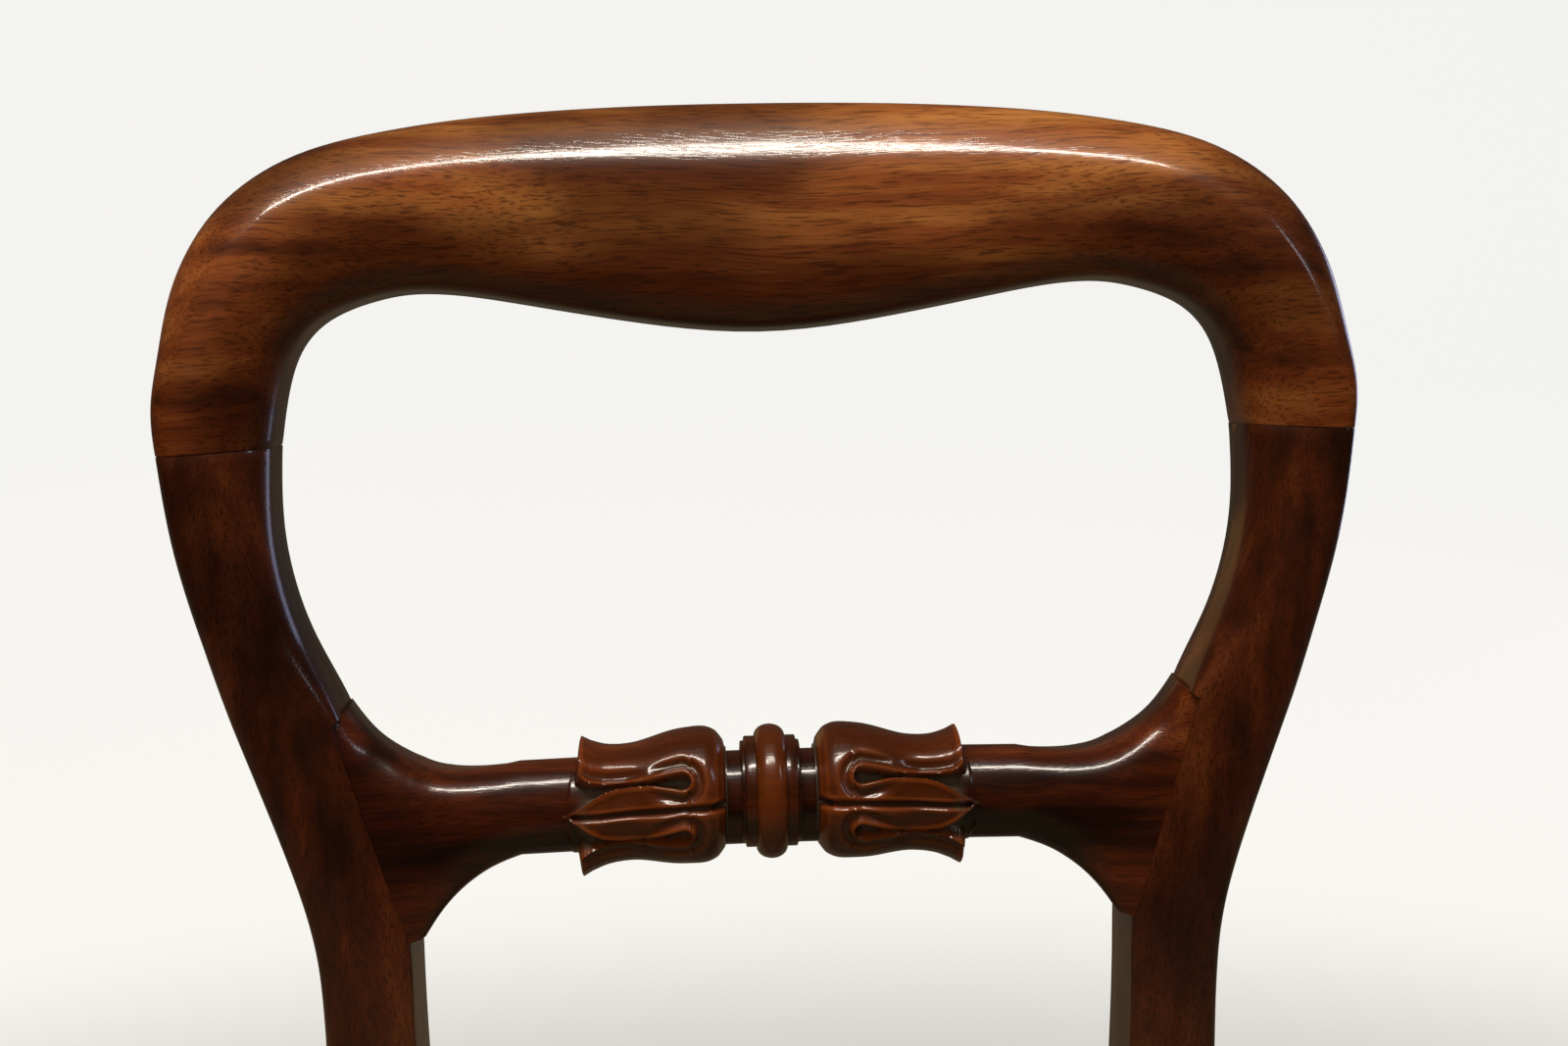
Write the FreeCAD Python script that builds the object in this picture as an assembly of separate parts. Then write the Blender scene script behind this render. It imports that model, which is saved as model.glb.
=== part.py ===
import FreeCAD
import Part
import math
import os
from FreeCAD import Vector

# Balloon back dining chair in mahogany, with a loose drop-in seat.
# Millimetres. X runs to the right as the chair is looked at from the front,
# the chair faces -Y, and Z is up from the floor. Each piece is drawn with Y at
# zero on the front faces of the uprights where they pass the seat, and is
# moved at the end so that the chair stands centred on the origin.

# How finely curved work is drawn: steps from one outline point to the next,
# chords to each roll of a section, flats round turned work, chords to each
# turned hollow or swell, and steps from the seat's edge to its crown
crest_steps = 2
upright_steps = 2
flare_steps = 2
leg_steps = 6
roll_chords = 3
turning_flats = 18
turning_chords = 4
corner_chords = 3
stuffing_steps = 7

# Whole chair
chair_height = 880.0
balloon_width = 426.0
seat_front_width = 460.0
seat_rear_width = 340.0
seat_depth = 375.0
seat_rail_top = 438.0
seat_rail_height = 66.0

# Lean and hollow of the back, and sweep of the rear legs
back_rake = 90.0
rake_start_height = 448.0
crest_bow = 26.0
rear_leg_sweep = 72.0
sweep_end_height = 360.0

# Crest rail, its heights measured down from the top of the chair
crest_joint_drop = 108.5
opening_top_drop = 59.0
crest_belly_drop = 76.4
crest_joint_height = chair_height - crest_joint_drop
opening_width = 346.0
opening_top_height = chair_height - opening_top_drop
crest_belly_height = chair_height - crest_belly_drop
joint_depth = 30.0
crest_depth = 27.0
crest_roll_rise = 1.5

# Uprights and rear legs
waist_drop = 318.0
waist_height = chair_height - waist_drop
waist_width = 332.0
foot_width = 346.0
rear_foot_depth = 27.0
rear_foot_face = 28.0
upright_depth = 38.0
upright_face_at_seat = 38.0
upright_face_at_waist = 33.4
upright_face_at_rail = 36.9
block_margin = 8.0

# Cross rail
cross_rail_drop = 239.8
cross_rail_height = chair_height - cross_rail_drop
rail_arch = 2.2
rail_neck_diameter = 33.2
rail_plain_depth = 31.0
rail_straight_end = 92.0
# The flare: out from the upright's waist, rise of its upper and lower edge over
# the plain rail's, and its share of the upright's depth and of the flat section
rail_flare = [
    (-28.0, -1.2, -3.6, .2, .35),
    (-14.0, -.6, -13.0, .6, .8),
    (-4.0, 3.0, -26.0, 1.0, 1.0),
    (4.0, 8.5, -33.0, 1.0, 1.0),
    (14.0, 20.0, -33.0, 1.0, 1.0),
    (25.0, 38.0, -33.0, 1.0, 1.0),
]
seam_high = 41.0
seam_low = -45.5
seam_head_reach = 28.0
seam_head_rise = 14.0
seam_foot_reach = 20.0
seam_foot_rise = 5.5
ring_diameter = 49.6
ring_width = 11.4
inner_fillet_diameter = 41.0
inner_fillet_width = 2.2
outer_fillet_diameter = 36.4
outer_fillet_width = 3.6
turned_arris = 0.4
tulip_start = 17.5
tulip_length = 53.0
tulip_swell_diameter = 50.2
tulip_waist_diameter = 43.4
tulip_lip_diameter = 51.4
lip_thickness = 1.6
leaf_diameter = 42.0
leaf_overhang = 4.8
leaf_half_width = 9.0
leaf_groove_width = 2.6
leaf_groove_depth = 2.6
tulip_hollow_depth = 6.0
seam_inset = 34.6

# Front legs
leg_block = 44.0
leg_block_drop = 12.0
leg_neck_diameter = 38.0
leg_neck_height = 8.0
leg_ring_diameter = 53.0
leg_ring_height = 16.0
leg_fillet_diameter = 41.0
leg_fillet_height = 5.0
leg_swell_diameter = 45.0
leg_swell_length = 80.0
leg_ankle_diameter = 25.0
leg_ankle_height = 56.0
leg_ankle_ring_diameter = 32.0
leg_ankle_ring_height = 12.0
leg_toe_diameter = 31.0
leg_foot_diameter = 27.0

# Seat rails
rail_thickness = 24.0
rail_setback = 2.0
rail_lip = 11.0
rebate_depth = 18.0
back_rail_lip = 14.0
back_rail_ledge = 10.0
rail_bulge = 2.0
bead_diameter = 8.0
tenon_thickness = 9.0
tenon_height = 34.0
tenon_length = 22.0
back_tenon_length = 13.0
shoulder_sink = 1.0

# Corner blocks and their screws
corner_block_height = 30.0
corner_block_drop = 5.0
corner_block_reach = 46.0
block_clearance = 0.3
screw_diameter = 5.0
screw_head_diameter = 9.0
screw_head_height = 2.8
screw_length = 45.0
screw_slot = 1.2

# Dowels
crest_dowel_diameter = 10.0
crest_dowel_length = 50.0
rail_dowel_diameter = 8.0
rail_dowel_length = 36.0
rail_dowel_spacing = 26.0

# Drop-in seat
seat_gap = 1.5
seat_rest_gap = 0.3
cover_thickness = 1.2
cover_turn_under = 15.0
seat_frame_thickness = 22.0
seat_frame_member = 46.0
seat_frame_tenon = 24.0
seat_frame_tenon_width = 30.0
seat_frame_tenon_thickness = 8.0
seat_corner_radius = 8.0
webbing_width = 50.0
webbing_thickness = 1.4
webbing_pitch = 88.0
webbing_ramp = 8.0
webbing_inset = 8.0
hessian_thickness = 0.8
stuffing_crown = 27.0
stuffing_shoulder = 118.0
dust_cover_thickness = 0.8
dust_cover_gap = 1.0


def between(start, end, share):
    """The value at a share of the way from start to end."""
    return start + (end - start) * share


def rake(z):
    """How far back the front face of the back or rear leg lies at a height."""
    if z < sweep_end_height:
        return rear_leg_sweep * ((sweep_end_height - z) / sweep_end_height) ** 1.8
    if z > rake_start_height:
        return back_rake * ((z - rake_start_height) / (chair_height - rake_start_height)) ** 1.7
    return 0.0


def lean(z):
    """The angle at which the back leans at a height, none below the seat."""
    if z <= rake_start_height:
        return 0.0
    return math.atan(rake(z + 0.5) - rake(z - 0.5))


def bow(x, z):
    """How far the back is hollowed in plan, none at its widest point."""
    if z <= rake_start_height:
        return 0.0
    share = (z - rake_start_height) / (chair_height - rake_start_height)
    return crest_bow * share * (1.0 - (2.0 * x / balloon_width) ** 2)


def mirrored(shape):
    """The same shape on the other side of the chair."""
    return shape.mirror(Vector(0, 0, 0), Vector(1, 0, 0))


def lines(points):
    """Straight edges through points in order."""
    return [Part.LineSegment(a, b).toShape() for a, b in zip(points, points[1:])]


def smooth_curve(points):
    """A curve through points (x, z), one unit of its parameter from each to the next."""
    curve = Part.BSplineCurve()
    curve.interpolate(Points=[Vector(x, 0, z) for x, z in points],
                      Parameters=[float(index) for index in range(len(points))])
    return curve


def arc(start, middle, end):
    """An arc through three points."""
    return Part.Arc(start, middle, end).toShape()


def turned_arc(start, middle, end):
    """Points along an arc through three points (radius, place along the axis)."""
    curve = Part.Arc(*[Vector(radius, 0, along) for radius, along in (start, middle, end)])
    return [(point.x, point.z) for point in curve.discretize(turning_chords + 1)]


def faceted(outlines):
    """A solid of flat faces from one closed outline to the next, all with as many corners."""
    faces = [Part.Face(Part.makePolygon(outline)) for outline in (outlines[0], outlines[-1])]
    for low, high in zip(outlines, outlines[1:]):
        for first in range(len(low) - 1):
            second = first + 1
            band = [low[first], low[second], high[second], high[first], low[first]]
            faces.append(Part.Face(Part.makePolygon(band)))
    return Part.makeSolid(Part.makeShell(faces))


def turned(profile):
    """Work turned along the Z axis through points (radius, height), drawn with flats."""
    angles = [math.radians(360.0 * flat / turning_flats) for flat in range(turning_flats)]
    rings = []
    for radius, z in profile:
        ring = [Vector(radius * math.cos(angle), radius * math.sin(angle), z) for angle in angles]
        rings.append(ring + ring[:1])
    return faceted(rings)


def turned_along_x(profile):
    """Work turned along the X axis through points (radius, x)."""
    work = turned(profile)
    work.rotate(Vector(0, 0, 0), Vector(0, 1, 0), 90)
    return work


def prism_from_front(points, y_front, y_back):
    """A block seen from the front as the given (x, z) outline."""
    corners = [Vector(x, y_front, z) for x, z in points]
    outline = Part.makePolygon(corners + corners[:1])
    return Part.Face(outline).extrude(Vector(0, y_back - y_front, 0))


def prism_from_above(points, z_low, z_high):
    """A block seen from above as the given (x, y) outline."""
    corners = [Vector(x, y, z_low) for x, y in points]
    outline = Part.makePolygon(corners + corners[:1])
    return Part.Face(outline).extrude(Vector(0, 0, z_high - z_low))


def rod(start, direction, radius, length):
    """A plain round rod."""
    return Part.makeCylinder(radius, length, start, direction)


# The wood of the back has a flat back, straight sides and a front that rolls
# over at both edges. A section is nine points, as shares of the way from the
# outer edge to the inner edge and of the depth from the back: the outer side,
# three curves of three points each for the roll, the front and the other roll,
# and the inner side.
square_section = [(0, 0), (0, .96), (0, 1), (.04, 1), (.5, 1), (.96, 1), (1, 1), (1, .96), (1, 0)]
post_section = [(0, 0), (0, .74), (0, .96), (.18, .985), (.5, 1.03), (.93, .99), (1, .983), (1, .93),
                (1, 0)]
balloon_section = [(.02, 0), (0, .62), (0, .92), (.16, .972), (.44, 1.063), (.76, .93), (.95, .851),
                   (.985, .6), (1, 0)]
round_section = [(.14, 0), (0, .44), (0, .8), (.2, .93), (.5, 1.125), (.8, .93), (1, .8), (1, .44),
                 (.86, 0)]
flare_section = [(.05, 0), (0, .55), (0, .92), (.18, .975), (.5, 1.02), (.9, .985), (1, .975), (1, .9),
                 (1, 0)]


def mixed(first, second, share):
    """A section part of the way from one kind to another."""
    return [(between(a[0], b[0], share), between(a[1], b[1], share)) for a, b in zip(first, second)]


def section_wire(outer, inner, depth, section):
    """The outline of the wood between two edge points (x, z), square to the lean."""
    angle = lean((outer[1] + inner[1]) / 2)
    inward = Vector(0, math.cos(angle), -math.sin(angle))
    start = Vector(outer[0], rake(outer[1]) + bow(*outer) + depth / 2, outer[1])
    end = Vector(inner[0], rake(inner[1]) + bow(*inner) + depth / 2, inner[1])
    points = [start + (end - start) * across + inward * (depth * (0.5 - deep))
              for across, deep in section]
    outline = points[:2]
    for first in (1, 3, 5):
        curve = Part.BezierCurve()
        curve.setPoles(points[first:first + 3])
        outline += [curve.value((step + 1) / roll_chords) for step in range(roll_chords)]
    return Part.makePolygon(outline + [points[8], points[0]])


# Crest rail: outer and inner edge points from the joint towards the middle.
# Outer x is a share of half the balloon's width and outer z of the rise from
# the joint to the top; inner x is a share of half the opening's width and
# inner z of the rise from the joint to the top of the opening.
crest_outline = [
    (.9925, 0, 1, 0),
    (.998, .152, .984, .313),
    (.988, .309, .958, .596),
    (.969, .493, .915, .808),
    (.924, .668, .860, .893),
    (.852, .802, .797, .976),
    (.747, .897, .727, .996),
    (.608, .949, .641, .974),
    (.450, .979, .520, .903),
]
crest_belly_side = (.232, .996, .294, .3)


def make_crest_rail():
    """The crest rail, sawn and carved in one piece from joint to joint."""
    crest_rise = chair_height - crest_roll_rise - crest_joint_height
    opening_rise = opening_top_height - crest_joint_height
    belly_rise = crest_belly_height - crest_joint_height
    outer = [(x * balloon_width / 2, crest_joint_height + z * crest_rise)
             for x, z, inner_x, inner_z in crest_outline]
    inner = [(x * opening_width / 2, crest_joint_height + z * opening_rise)
             for outer_x, outer_z, x, z in crest_outline]
    side_x, side_z, belly_x, belly_z = crest_belly_side
    outer.append((side_x * balloon_width / 2, crest_joint_height + side_z * crest_rise))
    inner.append((belly_x * opening_width / 2,
                  crest_joint_height + between(belly_rise, opening_rise, belly_z)))
    outer.append((0.0, crest_joint_height + crest_rise))
    inner.append((0.0, crest_belly_height))
    half = len(outer) - 1
    outer_edge = smooth_curve(outer + [(-x, z) for x, z in reversed(outer[:-1])])
    inner_edge = smooth_curve(inner + [(-x, z) for x, z in reversed(inner[:-1])])
    wires = []
    for step in range(2 * half * crest_steps + 1):
        place = step / crest_steps
        top = outer_edge.value(place)
        bottom = inner_edge.value(place)
        depth = between(crest_depth, joint_depth, abs(place - half) / half)
        wires.append(section_wire((top.x, top.z), (bottom.x, bottom.z), depth, balloon_section))
    return Part.makeLoft(wires, True, True, False)


def upright_depth_at(z):
    """Front to back size of the upright at a height above the seat."""
    block_high = seat_rail_top + block_margin
    share = (z - block_high) / (crest_joint_height - block_high)
    return between(upright_depth, joint_depth, share)


def upright_stations():
    """Height, outer edge, face width and section above the seat, from its block upwards."""
    seat_half = seat_rear_width / 2
    waist_half = waist_width / 2
    block_high = seat_rail_top + block_margin
    neck = between(block_high, waist_height, .45)
    joint_outer = crest_outline[0][0] * balloon_width / 2
    joint_face = joint_outer - opening_width / 2
    rail = cross_rail_height
    rail_face = upright_face_at_rail
    stations = [
        (block_high, seat_half, upright_face_at_seat, square_section),
        (neck, between(seat_half, waist_half, .7),
         between(upright_face_at_seat, upright_face_at_waist, .7),
         mixed(square_section, post_section, .6)),
        (waist_height, waist_half, upright_face_at_waist, post_section),
    ]
    for z, swell, face, section in (
            (rail - 46, .03, rail_face - 1.9, post_section),
            (rail - 22, .135, rail_face - .9, post_section),
            (rail + 8, .325, rail_face - .4, post_section),
            (rail + 38, .535, rail_face + .6, mixed(post_section, balloon_section, .3)),
            (between(rail, crest_joint_height, .5), .708, joint_face - 4.9, balloon_section),
            (between(rail, crest_joint_height, .75), .876, joint_face - 4.6, balloon_section)):
        stations.append((z, between(waist_half, balloon_width / 2, swell), face, section))
    stations.append((crest_joint_height, joint_outer, joint_face, balloon_section))
    return stations


def upright_edge_curves():
    """The outer and the inner edge of the right upright above the seat."""
    stations = upright_stations()
    outer = smooth_curve([(x, z) for z, x, face, section in stations])
    inner = smooth_curve([(x - face, z) for z, x, face, section in stations])
    return outer, inner


def upright_outer_edge(z):
    """How far out the right upright reaches at a height near the cross rail."""
    outer, inner = upright_edge_curves()
    low = 0.0
    high = float(len(upright_stations()) - 1)
    for halving in range(30):
        middle = (low + high) / 2
        if outer.value(middle).z < z:
            low = middle
        else:
            high = middle
    return outer.value(low).x


def make_upright_blank():
    """The right upright and rear leg in one, before the cross rail is let in."""
    seat_half = seat_rear_width / 2
    block_low = seat_rail_top - seat_rail_height - block_margin
    wires = []
    for step in range(leg_steps + 1):
        share = step / leg_steps
        outer_x = between(foot_width / 2, seat_half, share)
        face = between(rear_foot_face, upright_face_at_seat, share)
        depth = between(rear_foot_depth, upright_depth, share)
        wires.append(section_wire((outer_x, block_low * share), (outer_x - face, block_low * share),
                                  depth, mixed(post_section, square_section, share)))
    stations = upright_stations()
    outer_edge, inner_edge = upright_edge_curves()
    for step in range((len(stations) - 1) * upright_steps + 1):
        place = step / upright_steps
        index = min(int(place), len(stations) - 2)
        section = mixed(stations[index][3], stations[index + 1][3], place - index)
        outer = outer_edge.value(place)
        inner = inner_edge.value(place)
        wires.append(section_wire((outer.x, outer.z), (inner.x, outer.z),
                                  upright_depth_at(outer.z), section))
    return Part.makeLoft(wires, True, True, False)


def leaned(shape):
    """A piece drawn upright on the cross rail's middle line, leaned with the back."""
    depth = upright_depth_at(cross_rail_height)
    setting = rake(cross_rail_height) + bow(rail_straight_end, cross_rail_height)
    leaning = FreeCAD.Rotation(Vector(1, 0, 0), -math.degrees(lean(cross_rail_height)))
    moved = shape.copy()
    moved.Placement = FreeCAD.Placement(Vector(0, setting + depth / 2, cross_rail_height), leaning)
    return moved


def rail_section(x, up, down, depth, section):
    """A section of the cross rail, its back in line with the backs of the uprights."""
    top = (x, cross_rail_height + up)
    bottom = (x, cross_rail_height + down)
    wire = section_wire(top, bottom, depth, section)
    wire.translate(Vector(0, upright_depth_at(cross_rail_height) - depth, 0))
    return wire


def make_rail_blank():
    """The cross rail before it is carved: a plain middle and a flare at each end."""
    neck = rail_neck_diameter / 2
    depth = upright_depth_at(cross_rail_height)
    plain = rail_plain_depth
    inner_x = waist_width / 2 - upright_face_at_waist
    top = neck - rail_arch
    bottom = -neck - rail_arch
    end = rail_straight_end
    middle = Part.makeLoft([rail_section(-end, top, bottom, plain, round_section),
                            rail_section(end, top, bottom, plain, round_section)], True, True, False)
    stations = [(end, top, bottom, 0.0, 0.0)]
    for out, rise, fall, deeper, flatter in rail_flare:
        stations.append((inner_x + out, top + rise, bottom + fall, deeper, flatter))
    top_edge = smooth_curve([(station[0], station[1]) for station in stations])
    bottom_edge = smooth_curve([(station[0], station[2]) for station in stations])
    wires = []
    for step in range((len(stations) - 1) * flare_steps + 1):
        place = step / flare_steps
        index = min(int(place), len(stations) - 2)
        deeper = between(stations[index][3], stations[index + 1][3], place - index)
        flatter = between(stations[index][4], stations[index + 1][4], place - index)
        upper = top_edge.value(place)
        lower = bottom_edge.value(place)
        wires.append(rail_section(upper.x, upper.z, lower.z, between(plain, depth, deeper),
                                  mixed(round_section, flare_section, flatter)))
    flare = Part.makeLoft(wires, True, True, False)
    return middle.fuse([flare, mirrored(flare)])


def seam_points():
    """The seam with the right upright, (x, z) from the cross rail's middle line."""
    corner = (upright_outer_edge(cross_rail_height + seam_high) - seam_inset, seam_high)
    foot = (upright_outer_edge(cross_rail_height + seam_low) - seam_inset, seam_low)
    return [(corner[0] - seam_head_reach, seam_high + seam_head_rise), corner, foot,
            (foot[0] - seam_foot_reach, seam_low + seam_foot_rise)]


def seam_region():
    """What belongs to the cross rail, between its seams with the uprights."""
    side = seam_points()
    other = [(-x, z) for x, z in reversed(side)]
    reach = 3 * upright_depth
    return leaned(prism_from_front(side + other, -reach, reach))


def make_ring():
    """The central ring with two stepped fillets on each side."""
    ring_half = ring_width / 2
    inner_end = ring_half + inner_fillet_width
    outer_end = inner_end + outer_fillet_width
    inner_radius = inner_fillet_diameter / 2
    outer_radius = outer_fillet_diameter / 2
    crown = turned_arc((inner_radius, -ring_half), (ring_diameter / 2, 0), (inner_radius, ring_half))
    steps = [(inner_radius, inner_end - turned_arris), (outer_radius, inner_end), (outer_radius, outer_end)]
    return turned_along_x([(radius, -x) for radius, x in reversed(steps)] + crown + steps)


def make_tulip():
    """A tulip opening to the right: a flared bell cut into petals, and a leaf."""
    start = tulip_start
    lip = start + tulip_length
    neck = rail_neck_diameter / 2
    swell = tulip_swell_diameter / 2
    waist = tulip_waist_diameter / 2
    edge = tulip_lip_diameter / 2
    leaf_top = leaf_diameter / 2
    turn = (between(waist, swell, .6), start + .38 * tulip_length)
    rounded = turned_arc((.78 * swell, start), (swell, start + .14 * tulip_length), turn)
    hollowed = turned_arc(turn, (waist, start + .7 * tulip_length), (edge, lip - lip_thickness))
    bell = turned_along_x(rounded + hollowed[1:] + [(edge - lip_thickness, lip)])
    mouth = turned_along_x([(neck, lip - 4 * lip_thickness), (edge - 1.5 * lip_thickness, lip + 1)])
    bell = bell.cut(mouth)

    tip = lip + leaf_overhang
    widest = start + .66 * tulip_length
    hollow_start = start + .24 * tulip_length
    hollow_end = start + .54 * tulip_length
    half = leaf_half_width
    front = -tulip_lip_diameter
    rail_round = rod(Vector(0, 0, 0), Vector(1, 0, 0), neck + .4, 3 * tulip_length)
    notch = [(hollow_end - 1, 0), (hollow_end, .95 * half), (widest, 1.15 * half),
             (lip + 2, 1.75 * half), (lip + 2, -1.75 * half), (widest, -1.15 * half),
             (hollow_end, -.95 * half)]
    bell = bell.cut(prism_from_front(notch, front, 0).cut(rail_round))

    upper = [Vector(x, front, z) for x, z in ((start + 1, .6 * half), (widest - 4, .95 * half), (tip, 0))]
    lower = [Vector(p.x, p.y, -p.z) for p in reversed(upper)]
    leaf_edges = [arc(*upper), arc(*lower)] + lines([lower[-1], upper[0]])
    leaf = Part.Face(Part.Wire(leaf_edges)).extrude(Vector(0, -front, 0))
    shell = turned_along_x([(leaf_top + .6, start), (neck + 1.2, tip)])
    tulip = bell.fuse(leaf.common(shell))

    floor = rod(Vector(0, 0, 0), Vector(1, 0, 0), swell - tulip_hollow_depth, 3 * tulip_length)
    for side in (1, -1):
        hollow = [(hollow_start, side * .75 * half), (hollow_start + 2, side * 1.1 * half),
                  (hollow_start + 6, side * 1.25 * half), (hollow_end, side * 1.05 * half),
                  (hollow_end + 2, side * .95 * half), (hollow_start + 5, side * .55 * half)]
        tulip = tulip.cut(prism_from_front(hollow, front, 0).cut(floor))

    groove = [(-leaf_top - 2, leaf_groove_width), (-leaf_top + leaf_groove_depth, 0),
              (-leaf_top - 2, -leaf_groove_width)]
    corners = [Vector(start - 1, y, z) for y, z in groove]
    wedge = Part.Face(Part.makePolygon(corners + corners[:1])).extrude(Vector(tulip_length + 1, 0, 0))
    return tulip.cut(wedge)


def make_cross_rail():
    """The carved cross rail, with flares that end on the seams."""
    body = make_rail_blank().common(seam_region())
    ring = make_ring()
    tulip = make_tulip()
    turned_work = ring.fuse([tulip, mirrored(tulip)])
    half = upright_depth_at(cross_rail_height) / 2
    turned_work.translate(Vector(0, half - rail_plain_depth / 2, 0))
    size = 2 * tulip_lip_diameter
    behind = Part.makeBox(6 * tulip_length, size, size, Vector(-3 * tulip_length, half, -size / 2))
    turned_work = turned_work.cut(behind)
    return body.fuse(leaned(turned_work))


def side_line(y, inset):
    """How far out the outer face of the right side rail lies, less an inset."""
    rear = seat_rear_width / 2 - rail_setback
    front = seat_front_width / 2 - rail_setback
    slope = (front - rear) / (leg_block - seat_depth)
    return rear + slope * y - inset * math.hypot(1, slope)


def seat_corners(inset):
    """The corners (x, y) of the rebate seen from above, drawn in by an inset."""
    front = -seat_depth + rail_setback + rail_lip + inset
    rear = -inset
    front_x = side_line(front, rail_lip + inset)
    rear_x = side_line(rear, rail_lip + inset)
    return [(-front_x, front), (front_x, front), (rear_x, rear), (-rear_x, rear)]


def make_front_leg():
    """The right front leg: a square head for the rails over a turned, tapering leg."""
    top = seat_rail_top - seat_rail_height - leg_block_drop
    neck = leg_neck_diameter / 2
    ring_top = top - leg_neck_height
    ring_bottom = ring_top - leg_ring_height
    fillet_bottom = ring_bottom - leg_fillet_height
    swell_bottom = fillet_bottom - leg_swell_length
    ankle = leg_ankle_diameter / 2
    ankle_bottom = leg_ankle_height - leg_ankle_ring_height
    taper = between(leg_swell_diameter, leg_ankle_diameter, .12) / 2
    profile = [(neck, top + leg_neck_height)]
    profile += turned_arc((neck, ring_top), (leg_ring_diameter / 2, between(ring_top, ring_bottom, .5)),
                          (neck, ring_bottom))
    profile += [(leg_fillet_diameter / 2, ring_bottom - turned_arris),
                (leg_fillet_diameter / 2, fillet_bottom + turned_arris)]
    profile += turned_arc((neck, fillet_bottom),
                          (leg_swell_diameter / 2, between(fillet_bottom, swell_bottom, .4)),
                          (taper, swell_bottom))
    profile += turned_arc((ankle, leg_ankle_height),
                          (leg_ankle_ring_diameter / 2, between(leg_ankle_height, ankle_bottom, .5)),
                          (ankle, ankle_bottom))
    profile += turned_arc((ankle, ankle_bottom), (leg_toe_diameter / 2, ankle_bottom * .45),
                          (leg_foot_diameter / 2, 0))[1:]
    leg = turned(list(reversed(profile)))
    leg.translate(Vector((seat_front_width - leg_block) / 2, leg_block / 2 - seat_depth, 0))
    block = Part.makeBox(leg_block, leg_block, seat_rail_top - top,
                         Vector(seat_front_width / 2 - leg_block, -seat_depth, top))
    well = prism_from_above(seat_corners(0.0), seat_rail_top - rebate_depth, seat_rail_top)
    return block.cut(well).fuse(leg)


def rail_bar(start, end):
    """A bar of the seat rail's profile along the outer face, from start to end (x, y)."""
    low = seat_rail_top - seat_rail_height
    ledge = seat_rail_top - rebate_depth
    bead = bead_diameter
    run = Vector(end[0] - start[0], end[1] - start[1], 0)
    inward = Vector(-run.y, run.x, 0).normalize()

    def at(depth, z):
        return Vector(start[0], start[1], z) + inward * depth

    face = arc(at(0, low + bead), at(-rail_bulge, between(low + bead, seat_rail_top, .5)),
               at(0, seat_rail_top))
    rebate = lines([at(0, seat_rail_top), at(rail_lip, seat_rail_top), at(rail_lip, ledge),
                    at(rail_thickness, ledge), at(rail_thickness, low), at(bead / 2, low)])
    beading = arc(at(bead / 2, low), at(0, low + bead / 2), at(bead / 2, low + bead))
    quirk = lines([at(bead / 2, low + bead), at(0, low + bead)])
    return Part.Face(Part.Wire([face] + rebate + [beading] + quirk)).extrude(run)


def tenon_bar(start, end):
    """A bar of the seat tenon's section, along the middle of a rail's thickness."""
    run = Vector(end[0] - start[0], end[1] - start[1], 0)
    inward = Vector(-run.y, run.x, 0).normalize()
    middle = seat_rail_top - (seat_rail_height + rebate_depth) / 2
    corner = Vector(start[0], start[1], middle - tenon_height / 2)
    corner += inward * ((rail_thickness - tenon_thickness) / 2)
    across = inward * tenon_thickness
    up = Vector(0, 0, tenon_height)
    outline = [corner, corner + across, corner + across + up, corner + up, corner]
    return Part.Face(Part.makePolygon(outline)).extrude(run)


def make_front_rail():
    """The front seat rail, between the heads of the front legs."""
    end = seat_front_width / 2 - leg_block
    y = rail_setback - seat_depth
    bar = rail_bar((-end, y), (end, y))
    reach = end + tenon_length
    return bar.fuse(tenon_bar((-reach, y), (reach, y)))


def make_side_rail():
    """The right side rail, from the front leg's head to the upright."""
    front = leg_block - seat_depth
    extra = rail_thickness

    def on_line(y):
        return side_line(y, 0.0), y

    bar = rail_bar(on_line(front - extra), on_line(extra))
    size = seat_front_width
    room = Part.makeBox(size, shoulder_sink - front, size, Vector(0, front, 0))
    angle = math.atan2(on_line(front)[0] - on_line(0.0)[0], -front)
    reach = tenon_length * math.cos(angle)
    return bar.common(room).fuse(tenon_bar(on_line(front - reach), on_line(reach)))


def make_back_rail():
    """The back seat rail, between the uprights, with a ledge for the seat."""
    end = seat_rear_width / 2 - upright_face_at_seat
    low = seat_rail_top - seat_rail_height
    ledge = seat_rail_top - rebate_depth
    width = 2 * (end + shoulder_sink)
    left = -width / 2
    lip = Part.makeBox(width, back_rail_lip, seat_rail_height, Vector(left, 0, low))
    shelf = Part.makeBox(width, back_rail_ledge, ledge - low, Vector(left, -back_rail_ledge, low))
    reach = end + back_tenon_length
    tenon = Part.makeBox(2 * reach, tenon_thickness, tenon_height,
                         Vector(-reach, (back_rail_lip - tenon_thickness) / 2,
                                (low + ledge - tenon_height) / 2))
    return lip.fuse([shelf, tenon]).removeSplitter()


def front_block_outline():
    """The right front corner block seen from above, round the head of the leg."""
    rail_y = rail_setback + rail_thickness - seat_depth
    head_x = seat_front_width / 2 - leg_block
    head_y = leg_block - seat_depth
    far_y = head_y + corner_block_reach
    return [(head_x, rail_y), (head_x - corner_block_reach, rail_y),
            (side_line(far_y, rail_thickness), far_y), (side_line(head_y, rail_thickness), head_y),
            (head_x, head_y)]


def rear_block_outline():
    """The right rear corner block seen from above, in front of the upright."""
    upright_x = seat_rear_width / 2 - upright_face_at_seat + shoulder_sink
    rail_y = -back_rail_ledge
    return [(upright_x - corner_block_reach, rail_y), (upright_x, rail_y), (upright_x, -block_clearance),
            (side_line(-block_clearance, rail_thickness), -block_clearance),
            (side_line(-corner_block_reach, rail_thickness), -corner_block_reach)]


def block_top():
    """The height of the top of the corner blocks, below the ledges."""
    return seat_rail_top - rebate_depth - corner_block_drop


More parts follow.
